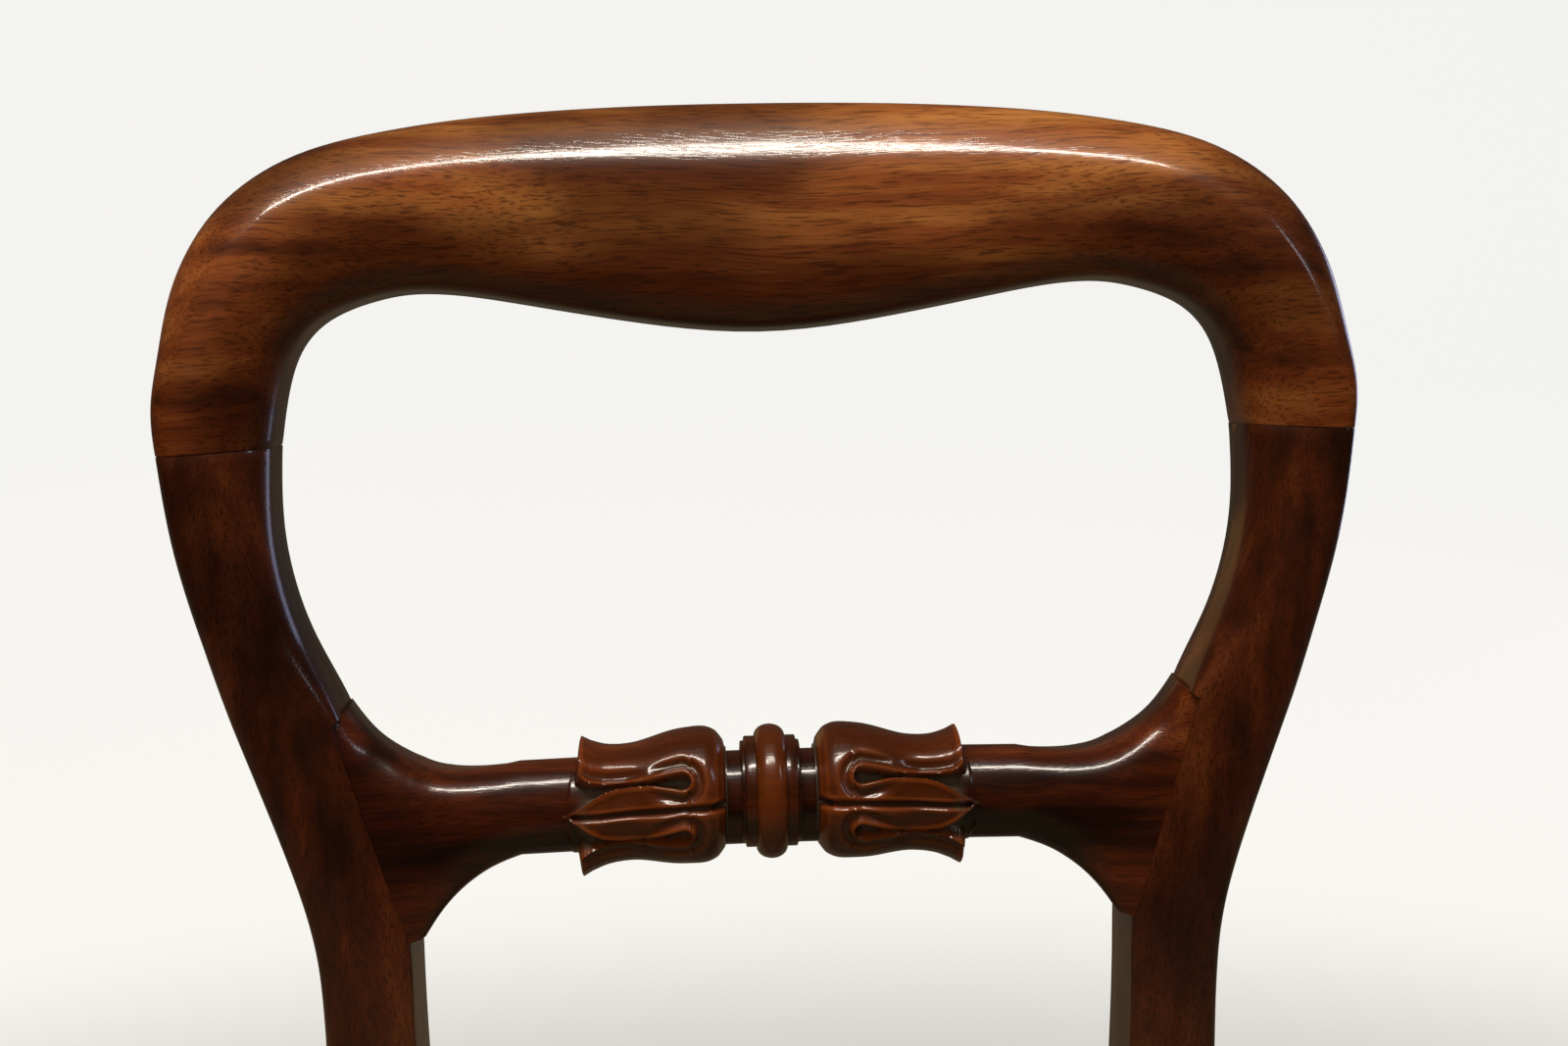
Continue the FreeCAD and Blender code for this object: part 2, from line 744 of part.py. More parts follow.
def make_screw(outline):
    """A slotted screw through the middle of a corner block's long face, square to it."""
    start = Vector(*outline[1], block_top() - corner_block_height / 2)
    end = Vector(*outline[2], start.z)
    run = (end - start).normalize()
    direction = Vector(run.y, -run.x, 0)
    if direction.dot(Vector(*outline[0], start.z) - start) < 0:
        direction = direction * -1
    face = (start + end) * .5
    shank = rod(face, direction, screw_diameter / 2, screw_length)
    head = rod(face, direction * -1, screw_head_diameter / 2, screw_head_height)
    top = face - direction * screw_head_height
    corner = top - run * screw_head_diameter - Vector(0, 0, screw_slot / 2)
    across = run * (2 * screw_head_diameter)
    up = Vector(0, 0, screw_slot)
    slot_outline = [corner, corner + up, corner + up + across, corner + across, corner]
    slot = Part.Face(Part.makePolygon(slot_outline)).extrude(direction * screw_slot)
    return shank.fuse(head).cut(slot)


def make_corner_block(outline):
    """A corner block with the hole for its screw."""
    top = block_top()
    block = prism_from_above(outline, top - corner_block_height, top)
    return block.cut(make_screw(outline))


def make_crest_dowels():
    """The right joint's two dowels, square to the joint between crest and upright."""
    angle = lean(crest_joint_height)
    along = Vector(0, math.sin(angle), math.cos(angle))
    outer_x = crest_outline[0][0] * balloon_width / 2
    dowels = []
    for share in (.3, .7):
        x = between(outer_x, opening_width / 2, share)
        centre = Vector(x, rake(crest_joint_height) + bow(x, crest_joint_height) + joint_depth / 2,
                        crest_joint_height)
        dowels.append(rod(centre - along * (crest_dowel_length / 2), along,
                          crest_dowel_diameter / 2, crest_dowel_length))
    return dowels


def make_rail_dowels():
    """The right seam's two dowels, between the cross rail's flare and the upright."""
    corner, foot = seam_points()[1:3]
    middle = between(foot[1], corner[1], .5)
    dowels = []
    for z in (middle - rail_dowel_spacing / 2, middle + rail_dowel_spacing / 2):
        x = between(foot[0], corner[0], (z - foot[1]) / (corner[1] - foot[1]))
        y = bow(x, cross_rail_height) - bow(rail_straight_end, cross_rail_height)
        start = Vector(x - rail_dowel_length / 2, y, z)
        dowels.append(leaned(rod(start, Vector(1, 0, 0), rail_dowel_diameter / 2, rail_dowel_length)))
    return dowels


def rounded(corners, radius, z):
    """A closed level outline through corners (x, y), each rounded in a few chords."""
    points = [Vector(x, y, z) for x, y in corners]
    outline = []
    for before, corner, after in zip(points[-1:] + points[:-1], points, points[1:] + points[:1]):
        back = (before - corner).normalize()
        ahead = (after - corner).normalize()
        half = back.getAngle(ahead) / 2
        reach = radius / math.tan(half)
        middle = corner + (back + ahead).normalize() * (radius / math.sin(half) - radius)
        bend = Part.Arc(corner + back * reach, middle, corner + ahead * reach)
        outline += bend.discretize(corner_chords + 1)
    return outline + outline[:1]


def level_slab(inset, z_low, z_high):
    """A slab of the seat's outline with rounded corners, drawn in by an inset."""
    outline = rounded(seat_corners(inset), seat_corner_radius, z_low)
    return Part.Face(Part.makePolygon(outline)).extrude(Vector(0, 0, z_high - z_low))


def seat_levels():
    """The heights of the cover's underside, the loose frame, its top, the cloth and the pad."""
    cover = seat_rail_top - rebate_depth + seat_rest_gap
    frame = cover + cover_thickness
    webbing = frame + seat_frame_thickness
    hessian = webbing + 2 * webbing_thickness
    return cover, frame, webbing, hessian, hessian + hessian_thickness


def crowned(inset, crown, z_low, z_edge):
    """The seat's outline from a low level to its edge, then rounded over to a crown."""
    rear_half = side_line(0.0, rail_lip)
    outlines = []
    if z_low < z_edge:
        outlines.append(rounded(seat_corners(inset), seat_corner_radius, z_low))
    for step in range(stuffing_steps + 1):
        turn = math.radians(90.0 * step / stuffing_steps)
        drawn_in = stuffing_shoulder * (1 - math.cos(turn))
        radius = min(seat_corner_radius + .7 * drawn_in, .8 * (rear_half - inset - drawn_in))
        outlines.append(rounded(seat_corners(inset + drawn_in), radius,
                                z_edge + crown * math.sin(turn)))
    return faceted(outlines)


def make_seat_frame():
    """The loose frame's four members: rear, front and two sides tenoned between them."""
    cover, low, high, hessian, pad = seat_levels()
    inset = seat_gap + cover_thickness
    inner = seat_corners(inset + seat_frame_member)
    ring = level_slab(inset, low, high).cut(prism_from_above(inner, low, high))
    front_y = inner[0][1]
    rear_y = inner[2][1]
    size = 2 * seat_front_width
    front_room = Part.makeBox(size, size, size, Vector(-size / 2, front_y - size, 0))
    rear_room = Part.makeBox(size, size, size, Vector(-size / 2, rear_y, 0))
    right_room = Part.makeBox(size, rear_y - front_y, size, Vector(0, front_y, 0))
    shoulder = (seat_frame_member - seat_frame_tenon_width) / 2
    outer_edge = rail_lip + inset + shoulder
    inner_edge = outer_edge + seat_frame_tenon_width
    ends = (front_y - seat_frame_tenon, rear_y + seat_frame_tenon)
    tongue_outline = [(side_line(y, outer_edge), y) for y in ends]
    tongue_outline += [(side_line(y, inner_edge), y) for y in reversed(ends)]
    middle = (low + high) / 2
    tongue = prism_from_above(tongue_outline, middle - seat_frame_tenon_thickness / 2,
                              middle + seat_frame_tenon_thickness / 2)
    right = ring.common(right_room).fuse(tongue).removeSplitter()
    left = mirrored(right)
    front = ring.common(front_room).cut([right, left])
    rear = ring.common(rear_room).cut([right, left])
    return front, rear, left, right


def strap(length, levels, pitch):
    """A strap along X, woven over and under others at a pitch about its middle."""
    thick = webbing_thickness
    flat = seat_frame_member - webbing_inset
    path = [(-length / 2, 0.0), (flat - length / 2 - webbing_ramp, 0.0)]
    path.append((flat - length / 2, levels[0] * thick))
    for index, (level, following) in enumerate(zip(levels, levels[1:])):
        middle = (index + 1 - len(levels) / 2) * pitch
        path.append((middle - webbing_ramp / 2, level * thick))
        path.append((middle + webbing_ramp / 2, following * thick))
    path.append((length / 2 - flat, levels[-1] * thick))
    path.append((length / 2 - flat + webbing_ramp, 0.0))
    path.append((length / 2, 0.0))
    outline = path + [(x, z + thick) for x, z in reversed(path)]
    return prism_from_front(outline, -webbing_width / 2, webbing_width / 2)


def make_webbing():
    """Three straps each way, woven over and under, tacked on top of the loose frame."""
    cover, frame, level, hessian, pad = seat_levels()
    inset = seat_gap + cover_thickness + webbing_inset
    corners = seat_corners(inset)
    front_y = corners[0][1]
    rear_y = corners[2][1]
    middle_y = (front_y + rear_y) / 2
    room = prism_from_above(corners, level, hessian)
    straps = []
    for row in range(3):
        y = middle_y + (row - 1) * webbing_pitch
        width = 2 * side_line(y, rail_lip + inset)
        across = strap(width, [(row + column) % 2 for column in range(3)], webbing_pitch)
        across.translate(Vector(0, y, level))
        straps.append(across.common(room))
        along = strap(rear_y - front_y, [(row + column + 1) % 2 for column in range(3)], webbing_pitch)
        along.rotate(Vector(0, 0, 0), Vector(0, 0, 1), 90)
        along.translate(Vector((row - 1) * webbing_pitch, middle_y, level))
        straps.append(along.common(room))
    return Part.Compound(straps)


def make_seat_cover():
    """The top cover, drawn over the pad and the edges of the frame and turned under."""
    low, frame, webbing, hessian, pad = seat_levels()
    inner_inset = seat_gap + cover_thickness
    outside = crowned(seat_gap, stuffing_crown + cover_thickness, low, pad)
    inside = crowned(inner_inset, stuffing_crown, frame, pad)
    opening = level_slab(inner_inset + cover_turn_under, low, frame)
    return outside.cut(inside).cut(opening)


def both(name, shape):
    """A piece and its mirror image, named for the right and the left."""
    return {name + "_right": shape, name + "_left": mirrored(shape)}


crest_dowels = make_crest_dowels()
crest_dowels += [mirrored(dowel) for dowel in crest_dowels]
rail_dowels = make_rail_dowels()
rail_dowels += [mirrored(dowel) for dowel in rail_dowels]
front_rail = make_front_rail()
side_rail = make_side_rail()
back_rail = make_back_rail()
front_screw = make_screw(front_block_outline())
rear_screw = make_screw(rear_block_outline())
screws = [front_screw, rear_screw, mirrored(front_screw), mirrored(rear_screw)]

parts = {
    "crest_rail": make_crest_rail().cut(crest_dowels),
    "crest_dowels": Part.Compound(crest_dowels),
    "cross_rail": make_cross_rail().cut(rail_dowels),
    "cross_rail_dowels": Part.Compound(rail_dowels),
    "front_seat_rail": front_rail,
    "back_seat_rail": back_rail.cut(screws),
    "corner_block_screws": Part.Compound(screws),
}
rear_leg = make_upright_blank().cut(seam_region())
rear_leg = rear_leg.cut(crest_dowels + rail_dowels + [side_rail, back_rail, rear_screw])
parts.update(both("rear_leg", rear_leg))
parts.update(both("front_leg", make_front_leg().cut([front_rail, side_rail, front_screw])))
parts.update(both("side_seat_rail", side_rail))
parts.update(both("corner_block_front", make_corner_block(front_block_outline())))
parts.update(both("corner_block_rear", make_corner_block(rear_block_outline())))

cover_level, frame_level, webbing_level, hessian_level, pad_level = seat_levels()
cover_inset = seat_gap + cover_thickness
dust_cover_inset = cover_inset + cover_turn_under + dust_cover_gap
frame_names = ("seat_frame_front", "seat_frame_back", "seat_frame_left", "seat_frame_right")
parts.update(zip(frame_names, make_seat_frame()))
parts["seat_webbing"] = make_webbing()
parts["seat_hessian"] = level_slab(cover_inset, hessian_level, pad_level)
parts["seat_stuffing"] = crowned(cover_inset, stuffing_crown, pad_level, pad_level)
parts["seat_cover"] = make_seat_cover()
parts["dust_cover"] = level_slab(dust_cover_inset, frame_level - dust_cover_thickness, frame_level)

rearmost = max(back_rake + crest_bow + crest_depth, rear_leg_sweep + rear_foot_depth)
centring = Vector(0, (seat_depth - rearmost) / 2, 0)
os.makedirs("parts", exist_ok=True)
for name, shape in parts.items():
    placed = shape.copy()
    placed.translate(centring)
    solids = placed.Solids
    print(name, len(solids), "solids", "valid" if placed.isValid() else "not valid",
          round(sum(solid.Volume for solid in solids) / 1000, 2), "cm3")
    placed.exportStep("parts/" + name + ".step")
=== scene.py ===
import math

import bmesh
import bpy
import numpy as np
from mathutils import Matrix, Vector


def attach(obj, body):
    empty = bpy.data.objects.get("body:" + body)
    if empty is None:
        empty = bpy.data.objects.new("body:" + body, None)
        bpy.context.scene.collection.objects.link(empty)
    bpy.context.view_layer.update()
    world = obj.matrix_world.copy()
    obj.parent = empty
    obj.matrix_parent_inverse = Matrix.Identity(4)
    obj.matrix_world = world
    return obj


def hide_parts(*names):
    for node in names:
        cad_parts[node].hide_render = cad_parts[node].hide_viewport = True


# A balloon back dining chair in French-polished mahogany with a drop-in seat.
# Sizes are in millimetres as the part's own drawing gives them, with Y at zero
# on the front of the uprights where they pass the seat.
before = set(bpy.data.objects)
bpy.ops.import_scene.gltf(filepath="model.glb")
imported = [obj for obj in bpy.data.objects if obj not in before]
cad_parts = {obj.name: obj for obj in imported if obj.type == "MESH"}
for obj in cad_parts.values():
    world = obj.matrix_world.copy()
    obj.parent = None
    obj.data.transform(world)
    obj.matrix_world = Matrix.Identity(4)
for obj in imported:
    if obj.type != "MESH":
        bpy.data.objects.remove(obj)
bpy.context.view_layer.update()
MM = 0.001
SETBACK = Vector((0, 116, 0))


def hex_colour(code):
    """An sRGB hex colour as the linear red, green, blue and alpha that shaders use."""
    parts = [int(code[i:i + 2], 16) / 255 for i in (0, 2, 4)]
    return [c / 12.92 if c <= 0.04045 else ((c + 0.055) / 1.055) ** 2.4 for c in parts] + [1.0]


# Camera
# The photograph looks at the upper back from a little left of the middle and
# from above, close to, with the lens level to within a third of a degree.
photo_width_px = 1600
focal_length_px = 1862.46
view_distance = 650.0
view_left_deg = 3.243
view_down_deg = 22.0
view_roll_deg = -0.321
view_target = Vector((6.24, 60.0, 744.0))
sensor_width = 36.0

turn = math.radians(view_left_deg)
dip = math.radians(view_down_deg)
roll = math.radians(view_roll_deg)
ahead = Vector((math.sin(turn) * math.cos(dip), math.cos(turn) * math.cos(dip), -math.sin(dip)))
level_right = Vector((math.cos(turn), -math.sin(turn), 0))
level_up = level_right.cross(ahead)
right = level_right * math.cos(roll) + level_up * math.sin(roll)
up = level_up * math.cos(roll) - level_right * math.sin(roll)
camera_data = bpy.data.cameras.new("photograph_view")
camera_data.sensor_width = sensor_width
camera_data.lens = focal_length_px / photo_width_px * sensor_width
camera = bpy.data.objects.new("photograph_view", camera_data)
stance = (view_target + SETBACK - ahead * view_distance) * MM
camera.matrix_world = Matrix.Translation(stance) @ Matrix((right, up, -ahead)).transposed().to_4x4()
bpy.context.collection.objects.link(camera)
bpy.context.scene.camera = camera

# Crest rail
# The yoke at the top of the back, sawn from one plank of mahogany with its grain
# across the chair and carved to a full round front; it sits on the two uprights.
CHAIR_HEIGHT = 880.0
BALLOON_WIDTH = 426.0
BACK_RAKE = 90.0
RAKE_START = 448.0
CREST_BOW = 26.0
LEG_SWEEP = 72.0
SWEEP_END = 360.0
CREST_JOINT = 771.5
OPENING_WIDTH = 346.0
OPENING_TOP = 821.0
CREST_BELLY = 803.6
JOINT_DEPTH = 30.0
CREST_DEPTH = 27.0
CREST_ROLL_RISE = 1.5
BACK_ARRIS = 2.2
ARRIS_CORNER = .3
JOINT_ARRIS = .35
JOINT_ARRIS_RISE = .4


def between(start, end, share):
    """The value at a share of the way from start to end."""
    return start + (end - start) * share


def rake(z):
    """How far back the front face of the back or rear leg lies at a height."""
    if z < SWEEP_END:
        return LEG_SWEEP * ((SWEEP_END - z) / SWEEP_END) ** 1.8
    if z > RAKE_START:
        return BACK_RAKE * ((z - RAKE_START) / (CHAIR_HEIGHT - RAKE_START)) ** 1.7
    return 0.0


def lean(z):
    """The angle at which the back leans at a height, none below the seat."""
    return math.atan(rake(z + 0.5) - rake(z - 0.5)) if z > RAKE_START else 0.0


def bow(x, z):
    """How far the back is hollowed in plan, none at its widest point."""
    share = max(0.0, (z - RAKE_START) / (CHAIR_HEIGHT - RAKE_START))
    return CREST_BOW * share * (1 - (2 * x / BALLOON_WIDTH) ** 2)


def smooth_curve(points):
    """A curve with an even bend through points: a function of 0 to one less than their number."""
    values = np.array(points, float)
    system = np.eye(len(values))
    target = np.zeros_like(values)
    for i in range(1, len(values) - 1):
        system[i, i - 1:i + 2] = (1, 4, 1)
        target[i] = 6 * (values[i - 1] - 2 * values[i] + values[i + 1])
    bends = np.linalg.solve(system, target)

    def at(place):
        i = min(int(place), len(values) - 2)
        b = place - i
        a = 1 - b
        return (a * values[i] + b * values[i + 1]
                + ((a ** 3 - a) * bends[i] + (b ** 3 - b) * bends[i + 1]) / 6)

    return at


# A section of the back's wood: nine points as shares of the way from the outer
# to the inner edge and of the depth from the back. Three rolls run through
# points 1 to 7 and the back's two arrises are eased.
SQUARE = [(0, 0), (0, .96), (0, 1), (.04, 1), (.5, 1), (.96, 1), (1, 1), (1, .96), (1, 0)]
POST = [(0, 0), (0, .74), (0, .96), (.18, .985), (.5, 1.03), (.93, .99), (1, .983), (1, .93), (1, 0)]
BALLOON = [(.02, 0), (0, .62), (0, .92), (.16, .972), (.44, 1.063), (.76, .93), (.95, .851), (.985, .6),
           (1, 0)]
CREST = [(.02, 0), (0, .25), (0, .578), (.26, .93), (.374, 1.085), (.76, .95), (.95, .8835), (.985, .6),
         (1, 0)]
ROUND = [(.14, 0), (0, .44), (0, .8), (.2, .93), (.5, 1.125), (.8, .93), (1, .8), (1, .44), (.86, 0)]
TIP = [(.05, 0), (0, .50), (0, .80), (.18, .935), (.5, 1.0), (.9, .985), (1, .975), (1, .9), (1, 0)]
FLARE = [(.05, 0), (0, .55), (0, .92), (.18, .975), (.5, 1.02), (.9, .985), (1, .975), (1, .9), (1, 0)]
ROLL_STEPS = 9
SIDE_STEPS = 3
BACK_STEPS = 6


def mixed(first, second, share):
    """A section part of the way from one kind to another."""
    return [(between(a[0], b[0], share), between(a[1], b[1], share)) for a, b in zip(first, second)]


def section_ring(outer, inner, depth, section):
    """The outline of the wood between two edge points (x, z), square to the lean."""
    angle = lean((outer[1] + inner[1]) / 2)
    inward = Vector((0, math.cos(angle), -math.sin(angle)))
    start = Vector((outer[0], rake(outer[1]) + bow(*outer) + depth / 2, outer[1]))
    end = Vector((inner[0], rake(inner[1]) + bow(*inner) + depth / 2, inner[1]))
    corners = [start + (end - start) * across + inward * (depth * (.5 - deep)) for across, deep in section]
    across = (corners[8] - corners[0]).normalized()
    low = (corners[1] - corners[0]).normalized()
    high = (corners[7] - corners[8]).normalized()
    ease = BACK_ARRIS
    ring = [corners[0] + across * ease, corners[0] + (across + low) * ease * ARRIS_CORNER,
            corners[0] + low * ease]
    ring += [between(ring[-1], corners[1], (step + 1) / SIDE_STEPS) for step in range(SIDE_STEPS)]
    for first in (1, 3, 5):
        a, b, c = corners[first:first + 3]
        for step in range(ROLL_STEPS):
            t = (step + 1) / ROLL_STEPS
            ring.append(a * (1 - t) ** 2 + b * 2 * t * (1 - t) + c * t ** 2)
    ring += [between(corners[7], corners[8] + high * ease, (step + 1) / SIDE_STEPS)
             for step in range(SIDE_STEPS)]
    ring += [corners[8] + (high - across) * ease * ARRIS_CORNER, corners[8] - across * ease]
    last = ring[-1]
    ring += [between(last, ring[0], (step + 1) / BACK_STEPS) for step in range(BACK_STEPS - 1)]
    return ring


def eased_end(ring, rise):
    """The end of a piece with its arris eased, so a joint shows as a fine dark line."""
    centre = sum(ring, Vector()) / len(ring)
    drawn_in = [point - (point - centre).normalized() * JOINT_ARRIS for point in ring]
    return [drawn_in, [point + Vector((0, 0, rise)) for point in ring]]


def loft(mesh, rings):
    """A closed skin through rings of points, each of as many points."""
    loops = []
    for ring in rings:
        verts = [mesh.verts.new(point) for point in ring]
        loops.append([mesh.edges.new((a, b)) for a, b in zip(verts, verts[1:] + verts[:1])])
    for first, second in zip(loops, loops[1:]):
        bmesh.ops.bridge_loops(mesh, edges=first + second)
    bmesh.ops.edgenet_fill(mesh, edges=loops[0])
    bmesh.ops.edgenet_fill(mesh, edges=loops[-1])


def make_piece(name, mesh, material, body, smooth_deg=40.0):
    """Turns a mesh drawn in millimetres into a finished piece that rides on a body."""
    bmesh.ops.remove_doubles(mesh, verts=mesh.verts, dist=.01)
    bmesh.ops.recalc_face_normals(mesh, faces=mesh.faces)
    bmesh.ops.translate(mesh, verts=mesh.verts, vec=SETBACK)
    bmesh.ops.scale(mesh, verts=mesh.verts, vec=Vector((MM, MM, MM)))
    data = bpy.data.meshes.new(name)
    mesh.to_mesh(data)
    mesh.free()
    data.shade_smooth()
    data.set_sharp_from_angle(angle=math.radians(smooth_deg))
    data.materials.append(material)
    piece = bpy.data.objects.new(name, data)
    bpy.context.collection.objects.link(piece)
    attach(piece, body)
    return piece


def add_node(material, kind, sockets, **settings):
    """Adds a node to a material, sets its settings, and fills or links its sockets."""
    new = material.node_tree.nodes.new(kind)
    for name, value in settings.items():
        setattr(new, name, value)
    for name, value in sockets.items():
        if isinstance(value, bpy.types.NodeSocket):
            material.node_tree.links.new(value, new.inputs[name])
        else:
            new.inputs[name].default_value = value
    return new


def new_material(name):
    """A material, its shader and the coordinates of the piece that it is put on."""
    material = bpy.data.materials.new(name)
    material.use_nodes = True
    shader = material.node_tree.nodes["Principled BSDF"]
    return material, shader, add_node(material, "ShaderNodeTexCoord", {}).outputs["Object"]


def french_polished_mahogany(name, grain_turn, tones, board_start=(0, 0, 0)):
    """Mahogany stained by age and shellacked: dark streaks and clouds under a clear shine."""
    material, shader, place = new_material(name)
    tree = material.node_tree
    board = add_node(material, "ShaderNodeMapping",
                     {"Vector": place, "Rotation": grain_turn, "Location": board_start}).outputs["Vector"]
    # Growth bands run 9 mm wide in a figure of 34 mm and bend over a hand's breadth. The
    # pores, 0.7 mm by 14 mm, are drawn coarser than real ones so that they show.
    wander = add_node(material, "ShaderNodeTexNoise",
                      {"Vector": board, "Scale": 1 / .12, "Detail": 2.0}).outputs["Color"]
    bent = add_node(material, "ShaderNodeVectorMath", {0: wander, 1: (.030, .014, .014)},
                    operation="MULTIPLY").outputs[0]
    bent = add_node(material, "ShaderNodeVectorMath", {0: board, 1: bent}, operation="ADD").outputs[0]
    stretched = add_node(material, "ShaderNodeMapping",
                         {"Vector": bent, "Scale": (.07, 1.0, 1.0)}).outputs["Vector"]
    bands = add_node(material, "ShaderNodeTexNoise",
                     {"Vector": stretched, "Scale": 1 / .009, "Detail": 5.0, "Roughness": .62}).outputs["Fac"]
    figure = add_node(material, "ShaderNodeTexNoise",
                      {"Vector": stretched, "Scale": 1 / .034, "Detail": 3.0, "Roughness": .5}).outputs["Fac"]
    mixed_bands = add_node(material, "ShaderNodeMix", {0: .45, 2: figure, 3: bands}).outputs[0]
    colour = add_node(material, "ShaderNodeValToRGB", {"Fac": mixed_bands})
    ramp = colour.color_ramp
    ramp.elements[0].position = .36
    ramp.elements[0].color = hex_colour(tones[0])
    ramp.elements[1].position = .66
    ramp.elements[1].color = hex_colour(tones[2])
    ramp.elements.new(.5).color = hex_colour(tones[1])
    pores = add_node(material, "ShaderNodeMapping",
                     {"Vector": bent, "Scale": (.05, 1.0, 1.0)}).outputs["Vector"]
    pores = add_node(material, "ShaderNodeTexNoise",
                     {"Vector": pores, "Scale": 1 / .0007, "Detail": 2.0, "Roughness": .6}).outputs["Fac"]
    streak = add_node(material, "ShaderNodeMapRange",
                      {"Value": pores, 1: .51, 2: .64, 3: 0.0, 4: 1.0}).outputs[0]
    dark = add_node(material, "ShaderNodeMix",
                    {0: streak, 6: colour.outputs["Color"], 7: hex_colour(tones[0])},
                    data_type="RGBA").outputs[2]
    grain = add_node(material, "ShaderNodeMix",
                     {0: .65, 6: colour.outputs["Color"], 7: dark}, data_type="RGBA").outputs[2]
    # Old polish has darkened in clouds a hand wide and left lighter wood between.
    cloud = add_node(material, "ShaderNodeMapping",
                     {"Vector": bent, "Scale": (.45, 1.0, 1.0)}).outputs["Vector"]
    cloud = add_node(material, "ShaderNodeTexNoise",
                     {"Vector": cloud, "Scale": 1 / .075, "Detail": 3.0, "Roughness": .5}).outputs["Fac"]
    cloud = add_node(material, "ShaderNodeMapRange", {"Value": cloud, 1: .42, 2: .60, 3: .9, 4: 0.0},
                     interpolation_type="SMOOTHSTEP").outputs[0]
    aged = add_node(material, "ShaderNodeMix", {0: cloud, 6: grain, 7: hex_colour("8a7a70")},
                    data_type="RGBA", blend_type="MULTIPLY").outputs[2]
    tree.links.new(aged, shader.inputs["Base Color"])
    handling = add_node(material, "ShaderNodeTexNoise",
                        {"Vector": place, "Scale": 1 / .018, "Detail": 4.0}).outputs["Fac"]
    gloss = add_node(material, "ShaderNodeMapRange", {"Value": handling, 3: .30, 4: .42}).outputs[0]
    tree.links.new(gloss, shader.inputs["Roughness"])
    shader.inputs["IOR"].default_value = 1.5
    shader.inputs["Specular IOR Level"].default_value = .2
    shader.inputs["Coat Weight"].default_value = .8
    shader.inputs["Coat Roughness"].default_value = .10
    bump = add_node(material, "ShaderNodeBump",
                    {"Height": streak, "Strength": .12, "Distance": -.0001}).outputs["Normal"]
    ripple = add_node(material, "ShaderNodeTexNoise",
                      {"Vector": place, "Scale": 1 / .030, "Detail": 2.0}).outputs["Fac"]
    bump = add_node(material, "ShaderNodeBump",
                    {"Height": ripple, "Strength": .25, "Distance": .0008, "Normal": bump}).outputs["Normal"]
    tree.links.new(bump, shader.inputs["Normal"])
    tree.links.new(bump, shader.inputs["Coat Normal"])
    return material


crest_wood = french_polished_mahogany("mahogany_crest_golden", (0, 0, 0), ("3e1c0d", "884822", "b6783c"),
                                       (.13, 0, .03))
# The crest's colour is painted darker towards its lower edge and the joints: a painted shade where its front
# turns down, away from the light above.
PAINTED_SHADE_RISE = 75.0
shader = crest_wood.node_tree.nodes["Principled BSDF"]
place = add_node(crest_wood, "ShaderNodeTexCoord", {}).outputs["Object"]
height = add_node(crest_wood, "ShaderNodeSeparateXYZ", {"Vector": place}).outputs["Z"]
# Painted shade: a darkening that grows towards the crest's lower edge, over its lowest 75 mm.
painted_shade = add_node(crest_wood, "ShaderNodeMapRange",
                   {"Value": height, 1: CREST_JOINT * MM, 2: (CREST_JOINT + PAINTED_SHADE_RISE) * MM, 3: .9, 4: 0.0},
                   interpolation_type="SMOOTHSTEP").outputs[0]
wood_colour = shader.inputs["Base Color"].links[0].from_socket
wood_colour = add_node(crest_wood, "ShaderNodeMix", {0: painted_shade, 6: wood_colour, 7: hex_colour("b49a8a")},
                       data_type="RGBA", blend_type="MULTIPLY").outputs[2]
crest_wood.node_tree.links.new(wood_colour, shader.inputs["Base Color"])
CREST_OUTLINE = [
    (.9925, 0, 1, 0),
    (.998, .152, .984, .313),
    (.988, .309, .958, .596),
    (.969, .493, .915, .786),
    (.924, .668, .860, .893),
    (.852, .802, .797, .957),
    (.747, .897, .727, .990),
    (.608, .949, .641, .974),
    (.450, .979, .520, .903),
]
CREST_BELLY_SIDE = (.232, .996, .294, .3)
CREST_STEPS = 6
ROLLED_AT = 4.0
THIN_TOP_RISE = 3.0

crest_rise = CHAIR_HEIGHT - CREST_ROLL_RISE - CREST_JOINT
opening_rise = OPENING_TOP - CREST_JOINT
belly_rise = CREST_BELLY - CREST_JOINT
outer = [(x * BALLOON_WIDTH / 2, CREST_JOINT + z * crest_rise) for x, z, u, v in CREST_OUTLINE]
inner = [(u * OPENING_WIDTH / 2, CREST_JOINT + v * opening_rise) for x, z, u, v in CREST_OUTLINE]
x, z, u, v = CREST_BELLY_SIDE
outer += [(x * BALLOON_WIDTH / 2, CREST_JOINT + z * crest_rise), (0, CREST_JOINT + crest_rise)]
inner += [(u * OPENING_WIDTH / 2, CREST_JOINT + between(belly_rise, opening_rise, v)), (0, CREST_BELLY)]
half = len(outer) - 1
outer_edge = smooth_curve(outer + [(-x, z) for x, z in reversed(outer[:-1])])
inner_edge = smooth_curve(inner + [(-x, z) for x, z in reversed(inner[:-1])])
rings = []
for step in range(2 * half * CREST_STEPS + 1):
    place = step / CREST_STEPS
    depth = between(CREST_DEPTH, JOINT_DEPTH, abs(place - half) / half)
    rolled = min(1.0, (half - abs(place - half)) / ROLLED_AT)
    rolled = rolled * rolled * (3 - 2 * rolled)
    x, z = outer_edge(place)
    rings.append(section_ring((x, z + THIN_TOP_RISE * rolled * max(0.0, (z - CREST_JOINT) / crest_rise)),
                              inner_edge(place), depth, mixed(BALLOON, CREST, rolled)))
low_ends = [eased_end(ring, JOINT_ARRIS_RISE) for ring in (rings[0], rings[-1])]
rings = low_ends[0] + rings[1:-1] + low_ends[1][::-1]
mesh = bmesh.new()
loft(mesh, rings)
crest = make_piece("crest_rail_carved", mesh, crest_wood, "chair_frame")
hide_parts("crest_rail")

